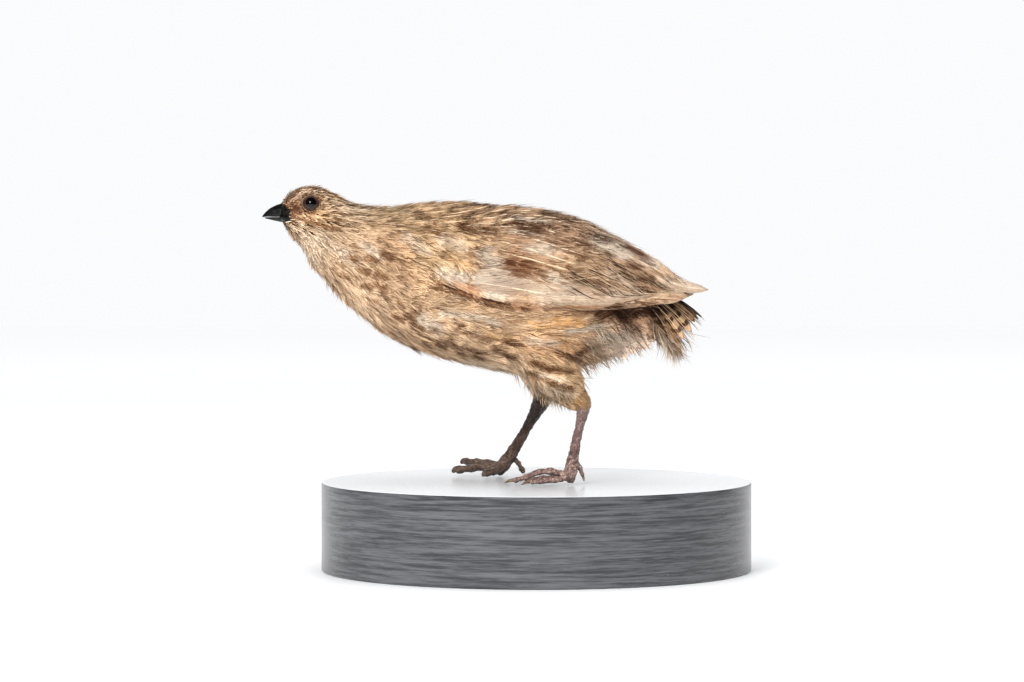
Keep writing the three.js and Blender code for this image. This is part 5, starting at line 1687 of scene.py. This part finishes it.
def lid_ring(side, radius, rise, thick, tall):
    """A soft ring round the eye, a little flatter above and drawn out at its corners."""
    centre, look, along, up = gaze_frame(side)
    section = circle(10)[:, None]
    rings = []
    for turn in circle(64):
        corner = 1 + 0.07 * math.cos(turn) ** 8 - 0.05 * max(math.sin(turn), 0) ** 2
        wave = 1 + 0.05 * math.sin(turn * 9 + 1) + 0.04 * math.sin(turn * 17)
        out = along * math.cos(turn) + up * math.sin(turn)
        middle = centre + out * radius * corner + look * rise
        rings.append(middle + out * np.cos(section) * thick * wave + look * np.sin(section) * tall * wave)
    return lofted(rings, endless=True)


def lid_finish(name, dark, light):
    finish = Finish(name)
    place = finish.place()
    fine = finish.noise(place, 2600.0, 3.0)
    colour = finish.mix(fine.step(0.4, 0.7), dark, light)
    return finish.surface(colour=colour, roughness=0.5, specular=0.35, normal=finish.bump(fine, 0.0001, 0.8))


glass = eye_finish()

# Soft rings round the eye: colour, and for each ring its radius, rise along the gaze, thickness and height.
EYE_RINGS = {
    "lids": (lid_finish("eyelid", linear(24, 15, 12), linear(70, 48, 38)),
             [(2.24, 2.2, 0.14, 0.22), (2.44, 1.9, 0.2, 0.34)]),
    "eye_rim": (lid_finish("eye rim", linear(84, 60, 42), linear(150, 118, 86)),
                [(2.86, 1.4, 0.28, 0.5), (2.94, 0.2, 0.34, 1.3)]),
}
for name, side in SIDES.items():
    make_eye(name, side, glass)
    for kind, (finish, rings) in EYE_RINGS.items():
        finished(joined_piece(f"{kind}_{name}", [lid_ring(side, *ring) for ring in rings]), finish, "plumage")


# Legs: each stop is a centre and a radius, in millimetres. Left is the side nearer the viewer, at -Y.

SHANKS = {
    "left": [
        (15, -17.2, 59.6, 2.5), (15.7, -17.2, 57.2, 2.6), (15.1, -17.4, 53.2, 1.95),
        (14.3, -17.8, 49.4, 1.55), (13.3, -18.3, 45, 1.6), (12.5, -18.8, 41, 1.8), (11.8, -19.2, 37, 2.2),
        (11.2, -19.5, 33.8, 2.2), (11.3, -19.5, 32.3, 1.7),
    ],
    "right": [
        (3, 17.6, 60, 3), (2.2, 17.8, 57.4, 3.3), (0.6, 18.1, 54, 2.6), (-2.2, 18.6, 48.8, 1.75),
        (-5.4, 19.1, 43.2, 1.8), (-8.6, 19.7, 38, 2.15), (-11, 20.2, 34.6, 2.4), (-12.4, 20.4, 32.4, 1.9),
    ],
}
TOES = {
    "left": {
        "middle": ([(10.2, -19.4, 33.4), (5, -19.1, 34.6), (0.4, -18.7, 34.3), (-3.8, -18.3, 32.6),
                    (-7, -18, 31.6)],
                   (1.35, 0.9), (-10.6, -17.7, 30.75)),
        "outer": ([(10.8, -20.4, 32.8), (6.4, -22, 32), (1.2, -23.9, 31.7), (-1.6, -24.8, 31.5)],
                  (1.25, 0.85), (-5, -25.7, 30.7)),
        "inner": ([(10.4, -18.2, 32.8), (5.8, -15.2, 32.2), (1.6, -12.8, 31.9), (-0.8, -11.6, 31.6)],
                  (1.25, 0.85), (-3.9, -10.1, 30.7)),
        "hind": ([(12.9, -18.4, 38.2), (14.4, -17.8, 35.8), (15.2, -17.4, 33.6)],
                 (1, 0.85), (15.9, -17.1, 31.4)),
    },
    "right": {
        "middle": ([(-12.6, 20.5, 33.6), (-17.4, 20.8, 33.5), (-22.2, 21.1, 33.1), (-26.6, 21.3, 32.5)],
                   (1.6, 1.4), (-30, 21.5, 31.7)),
        "outer": ([(-12.3, 21.6, 34), (-16.8, 25, 34.5), (-21, 28.2, 34.7), (-24.2, 30.3, 34.8)],
                  (1.5, 1.2), (-26.9, 32, 34.2)),
        "inner": ([(-12.2, 19.2, 33.2), (-14.6, 14.8, 32.4), (-17, 10.8, 32.1)],
                  (1.5, 1.3), (-18.9, 7.9, 31.2)),
        "hind": ([(-8.4, 20, 37.2), (-6.2, 20.3, 34.8), (-4.9, 20.5, 32.8)],
                 (1.05, 0.95), (-4.1, 20.6, 31.1)),
    },
}
LIMB_SIDES, LIMB_STEPS = 20, 14


def limb(stops, face, *, swell=0.0, flat=1.0):
    """A tube along stops of x, y, z and radius, swollen between its joints."""
    rows = smooth_rows(stops, (len(stops) - 1) * LIMB_STEPS + 1)
    middle, radii = rows[:, :3], rows[:, 3]
    place = np.linspace(0, len(stops) - 1, len(rows))
    radii = radii * (1 + swell * np.cos(place * 2 * math.pi))
    ahead = unit(np.gradient(middle, axis=0))
    side = unit(np.cross(np.broadcast_to(face, ahead.shape), ahead))
    up = np.cross(ahead, side)
    turn = circle(LIMB_SIDES)
    rings = (middle[:, None] + side[:, None] * (np.cos(turn)[None, :] * radii[:, None])[..., None]
             + up[:, None] * (np.sin(turn)[None, :] * radii[:, None] * flat)[..., None])
    caps = [[(rings[end] - middle[end]) * math.cos(a) + middle[end]
             + ahead[end] * way * radii[end] * math.sin(a) for a in (0.5, 1.0, 1.35)]
            for end, way in ((0, -1), (-1, 1))]
    return lofted([*caps[0][::-1], *rings, *caps[1]])


def scutes(points, stops, front, pitch, depth):
    """How far the plates on a limb's front stand out at points near it, and the place of each along it."""
    line = smooth_rows(stops, 200)[:, :3]
    tree = point_tree(line)
    run = np.concatenate([[0], np.cumsum(np.linalg.norm(np.diff(line, axis=0), axis=1))])
    nearest = np.array([tree.find(p)[1] for p in points])
    out = unit(points - line[nearest])
    facing = np.clip((out * front).sum(1) * 1.6 - 0.1, 0, 1)
    phase = (run[nearest] + 0.25 * pitch * (out * np.array([0, 1.0, 0])).sum(1)) / pitch
    saw = phase % 1.0
    plate = np.where(saw < 0.12, saw / 0.12 - 1, -0.55 * (saw - 0.12) / 0.88)
    return facing * plate * depth, nearest / (len(line) - 1)


PLATE_DEPTH = 0.16
DISC_TOP = 30.0
SHANK_ABOVE, TOES_BELOW = 36, 37.5  # heights between which the plates of shank and toes meet


def make_foot(name, finish, claw_horn, slot, blunt):
    forward = np.array([-1.0, 0, 0])
    toes = [(*bones_and_claw, forward if toe == "hind" else UP) for toe, bones_and_claw in TOES[name].items()]
    parts = [limb(SHANKS[name], forward)]
    for bones, (first, last), _, face in toes:
        stops = [(*bone, radius) for bone, radius in zip(bones, np.linspace(first, last, len(bones)))]
        parts.append(limb(stops, face, swell=0.09, flat=0.92))
    foot = joined_piece("foot_" + name, parts)
    one_surface(foot, 0.22, 4)
    points, normals = points_of(foot), normals_of(foot)
    rise, along = scutes(points, SHANKS[name], forward, 1.9, PLATE_DEPTH)
    rise = np.where(points[:, 2] > SHANK_ABOVE, rise, 0)
    for bones, _, _, face in toes:
        stops = [(*bone, 1.0) for bone in bones]
        line = smooth_rows(stops, 60)[:, :3]
        near = np.linalg.norm(points[:, None] - line[None, ::4], axis=2).min(1) < 1.75
        near &= points[:, 2] < TOES_BELOW
        rise[near] = scutes(points[near], stops, face, 1.05, 0.13)[0]
    lumps = np.array([noise.noise(Vector(p * 0.8)) * 0.26 + noise.noise(Vector(p * 2.1)) * 0.13
                      for p in points])
    points = points + normals * (rise + lumps)[:, None]
    points[:, 2] = np.maximum(points[:, 2], DISC_TOP + 0.25)
    move_points(foot, points)
    # How far each point faces down, which the skin's material darkens as painted shade.
    under = 0.5 - 0.5 * normals[:, 2]
    heights = [along, rise / PLATE_DEPTH * 0.5 + 0.5, points[:, 2] / 60, under]
    colour_layer(foot.data, "height", np.column_stack(heights))
    finished(foot, finish, slot, "shank_" + name, *[f"toe_{toe}_{name}" for toe in TOES[name]])
    parts = []
    for bones, radii, claw, face in toes:
        end, tip = np.array(bones[-1]), np.array(claw)
        wide = radii[1] * (0.95 if blunt else 0.66)
        tip = end * 0.45 + tip * 0.55 if blunt else tip
        middle = end * 0.4 + tip * 0.6 + np.array([0, 0, 0.35])
        stops = [(*(end * 1.1 - tip * 0.1), wide), (*middle, wide * 0.74), (*tip, 0.7 if blunt else 0.2)]
        parts.append(limb(stops, face, flat=1.15))
    claws = joined_piece("claws_" + name, parts)
    points = points_of(claws)
    points[:, 2] = np.maximum(points[:, 2], DISC_TOP + 0.3)
    move_points(claws, points)
    finished(claws, claw_horn, "claw", *[f"claw_{toe}_{name}" for toe in TOES[name]])


def foot_finish(name, upper, lower, toes, crack_and_shade, joint, glint, gloss):
    """Scaly skin: shank colours from top to bottom, toes, dark cracks that also paint shade on the undersides,
    a warm joint and painted glints.
    """
    finish = Finish(name)
    place = finish.place()
    height = finish.attribute("height")
    plate, level, under = height.part(1), height.part(2), finish.attribute("height", "Alpha")
    fine = finish.noise(place, 1600.0, 3.0)
    broad = finish.noise(place, 380.0, 3.0)
    middle = finish.noise(place, 950.0, 3.0)
    scales = finish.node("ShaderNodeTexVoronoi", {"feature": "DISTANCE_TO_EDGE"},
                         {"Vector": place, "Scale": 1500.0})
    colour = finish.mix((level + (broad - 0.5) * 0.5).step(0.86, 0.6), upper, lower)
    colour = finish.mix((level + (broad - 0.5) * 0.2).step(0.68, 0.58), colour, toes)
    colour = finish.mix((level + (broad - 0.5) * 0.1).step(0.9, 0.95) * 0.75, colour, joint)
    rough = 0.35 + level.step(0.78, 0.6) * 0.65
    colour = finish.mix(middle.step(0.56, 0.6) * rough * 0.6, colour, crack_and_shade)
    colour = finish.mix(middle.step(0.45, 0.4) * rough * 0.6, colour, glint)
    colour = finish.mix(plate.step(0.3, 0.1) * 0.75, colour, crack_and_shade)
    colour = finish.mix(scales.step(0.12, 0.03) * 0.4, colour, crack_and_shade)
    # Painted shade: the undersides darkened with the crack colour.
    colour = finish.mix((under + (broad - 0.5) * 0.5).step(0.5, 0.86) * 0.75, colour, crack_and_shade)
    colour = finish.shade(colour, 0.82 + fine * 0.36)
    bumps = scales.step(0.0, 0.25) * 0.5 + fine * 0.3 + middle * 1.5
    return finish.surface(colour=colour, roughness=0.24 + fine * 0.22, specular=0.5, coat=gloss,
                          coat_roughness=0.12, normal=finish.bump(bumps, 0.0006, 0.95))


def claw_finish(name, first, second):
    finish = Finish(name)
    place = finish.place()
    fine = finish.noise(finish.stretch(place, (0.4, 1, 1)), 1500.0, 3.0)
    return finish.surface(colour=finish.mix(fine.step(0.35, 0.7), first, second), roughness=0.38, specular=0.5,
                          normal=finish.bump(fine, 0.00008, 0.7))


# The two feet: name and colours of the skin (upper and lower shank, toes, cracks and painted underside shade,
# joint, painted glints), gloss, name and colours of the claws, slot of the skin, and whether the claws are
# worn blunt.
FEET = {
    "left": ("near foot skin", [(132, 103, 97), (96, 68, 60), (160, 128, 117), (46, 28, 23), (170, 128, 70),
                                (220, 190, 178)], 0.4,
             "pale claw", [(78, 62, 46), (134, 112, 86)], "skin_near", False),
    "right": ("far foot skin", [(50, 35, 28), (88, 62, 46), (108, 86, 72), (20, 14, 12), (62, 38, 26),
                                (142, 118, 102)], 0.2,
              "dark claw", [(52, 40, 34), (104, 84, 72)], "skin_far", True),
}
for name, (skin_name, skin_colours, gloss, claw_name, claw_colours, slot, blunt) in FEET.items():
    foot_skin = foot_finish(skin_name, *[linear(*colour) for colour in skin_colours], gloss)
    horn_of_claws = claw_finish(claw_name, *[linear(*colour) for colour in claw_colours])
    make_foot(name, foot_skin, horn_of_claws, slot, blunt)


# Base

BASE_RADIUS, BASE_EDGE, BASE_SIDES = 73.0, 0.6, 256


def make_base():
    inner = BASE_RADIUS - BASE_EDGE
    profile = [(0.0, 0.0), (inner, 0.0)]
    profile += [(inner + BASE_EDGE * math.sin(a), BASE_EDGE - BASE_EDGE * math.cos(a))
                for a in np.linspace(0.25, math.pi / 2, 6)]
    profile += [(BASE_RADIUS, z) for z in np.linspace(4, DISC_TOP - 4, 8)]
    profile += [(inner + BASE_EDGE * math.cos(a), DISC_TOP - BASE_EDGE + BASE_EDGE * math.sin(a))
                for a in np.linspace(0, math.pi / 2, 7)]
    profile += [(BASE_RADIUS * k, DISC_TOP) for k in (0.95, 0.8, 0.6, 0.4, 0.2)]
    turn = circle(BASE_SIDES)
    rings = []
    for radius, z in profile:
        radius = max(radius, 0.5)
        rings.append(np.column_stack([np.cos(turn) * radius, np.sin(turn) * radius, np.full(BASE_SIDES, z)]))
    base = joined_piece("round_base", [lofted(rings)])
    focus(base)
    bpy.ops.object.shade_smooth_by_angle(angle=math.radians(35))
    finish = Finish("base paint")
    place = finish.place()
    level = place.part(2)
    streaks = finish.noise(finish.stretch(place, (1, 1, 26)), 34.0, 5.0, 0.65)
    fine = finish.noise(finish.stretch(place, (1, 1, 16)), 160.0, 3.0)
    side = finish.mix((streaks * 0.7 + fine * 0.3).step(0.38, 0.62), linear(44, 45, 48), linear(86, 87, 90))
    # Rim: the pale top colour carried a little way down the rounded top edge, as a painted highlight along it.
    rim = finish.mix(level.step(0.0298, 0.02995), side, linear(206, 208, 210))
    colour = finish.mix(level.step(0.0299, 0.02999), rim, linear(206, 209, 212))
    specks = finish.noise(place, 700.0, 2.0)
    paint = finish.surface(colour=colour, roughness=0.2 + specks * 0.1, specular=0.5,
                           normal=finish.bump(specks, 0.00003, 0.4))
    finished(base, paint, "base_paint", "base_disc")


make_base()


# Stage, light and camera

WORLD_LIGHT = 0.84


def stage():
    bpy.ops.mesh.primitive_plane_add(size=8, location=(0, 0, 0))
    floor = bpy.context.object
    floor.name = "floor"
    pale = Finish("pale floor")
    ground = pale.place()
    glow = pale.mix((ground.part(0) * ground.part(0) + ground.part(1) * ground.part(1)).step(0.2, 3.0),
                    (0, 0, 0, 1), (0.14, 0.14, 0.14, 1))
    floor.data.materials.append(pale.surface(colour=(0.87, 0.875, 0.885), roughness=0.5, specular=0.3,
                                             glow=glow, glow_strength=1.0))
    bpy.ops.mesh.primitive_plane_add(size=1, location=(0, 2.6, 1.0), rotation=(math.radians(90), 0, 0))
    backdrop = bpy.context.object
    backdrop.name = "backdrop"
    bpy.ops.object.mode_set(mode="EDIT")
    bpy.ops.transform.resize(value=(6, 4, 4))
    bpy.ops.object.mode_set(mode="OBJECT")
    lit = Finish("lit backdrop")
    light = lit.node("ShaderNodeEmission", {}, {"Color": (0.965, 0.97, 0.98), "Strength": 1.0})
    backdrop.data.materials.append(lit.shown(light))
    deselect()
    world = bpy.context.scene.world or bpy.data.worlds.new("studio")
    bpy.context.scene.world = world
    world.use_nodes = True
    background = world.node_tree.nodes["Background"]
    background.inputs["Color"].default_value = (1, 1, 1, 1)
    background.inputs["Strength"].default_value = WORLD_LIGHT
    world.cycles_visibility.glossy = False
    bpy.context.scene.view_settings.view_transform = "Standard"


def soft_light(name, place, target, size, power):
    light = bpy.data.lights.new(name, "AREA")
    light.shape = "RECTANGLE"
    light.size, light.size_y = size
    light.energy = power
    lamp = linked(name, light)
    lamp.location = place
    lamp.rotation_euler = (Vector(target) - Vector(place)).to_track_quat("-Z", "Y").to_euler()
    return lamp


CAMERA_PLACE = (-0.00828, -1.362, 0.1255)
CAMERA_DOWN = 2.01
LENS = 141.1


def camera():
    lens = bpy.data.cameras.new("photo camera")
    lens.lens = LENS
    lens.sensor_width = 36
    lens.clip_end = 20
    view = linked("photo camera", lens)
    view.location = CAMERA_PLACE
    view.rotation_euler = (math.radians(90 - CAMERA_DOWN), 0, 0)
    bpy.context.scene.camera = view


stage()
soft_light("key softbox", (-0.42, -1.08, 0.8), (-0.02, 0, 0.1), (0.45, 0.45), 9.0)
soft_light("top softbox", (0.1, 0.1, 1.3), (0, 0, 0.1), (1.3, 1.3), 10).visible_glossy = False
soft_light("low fill", (-0.35, -1.05, 0.04), (-0.02, 0, 0.09), (1.5, 0.5), 18).visible_glossy = False
camera()
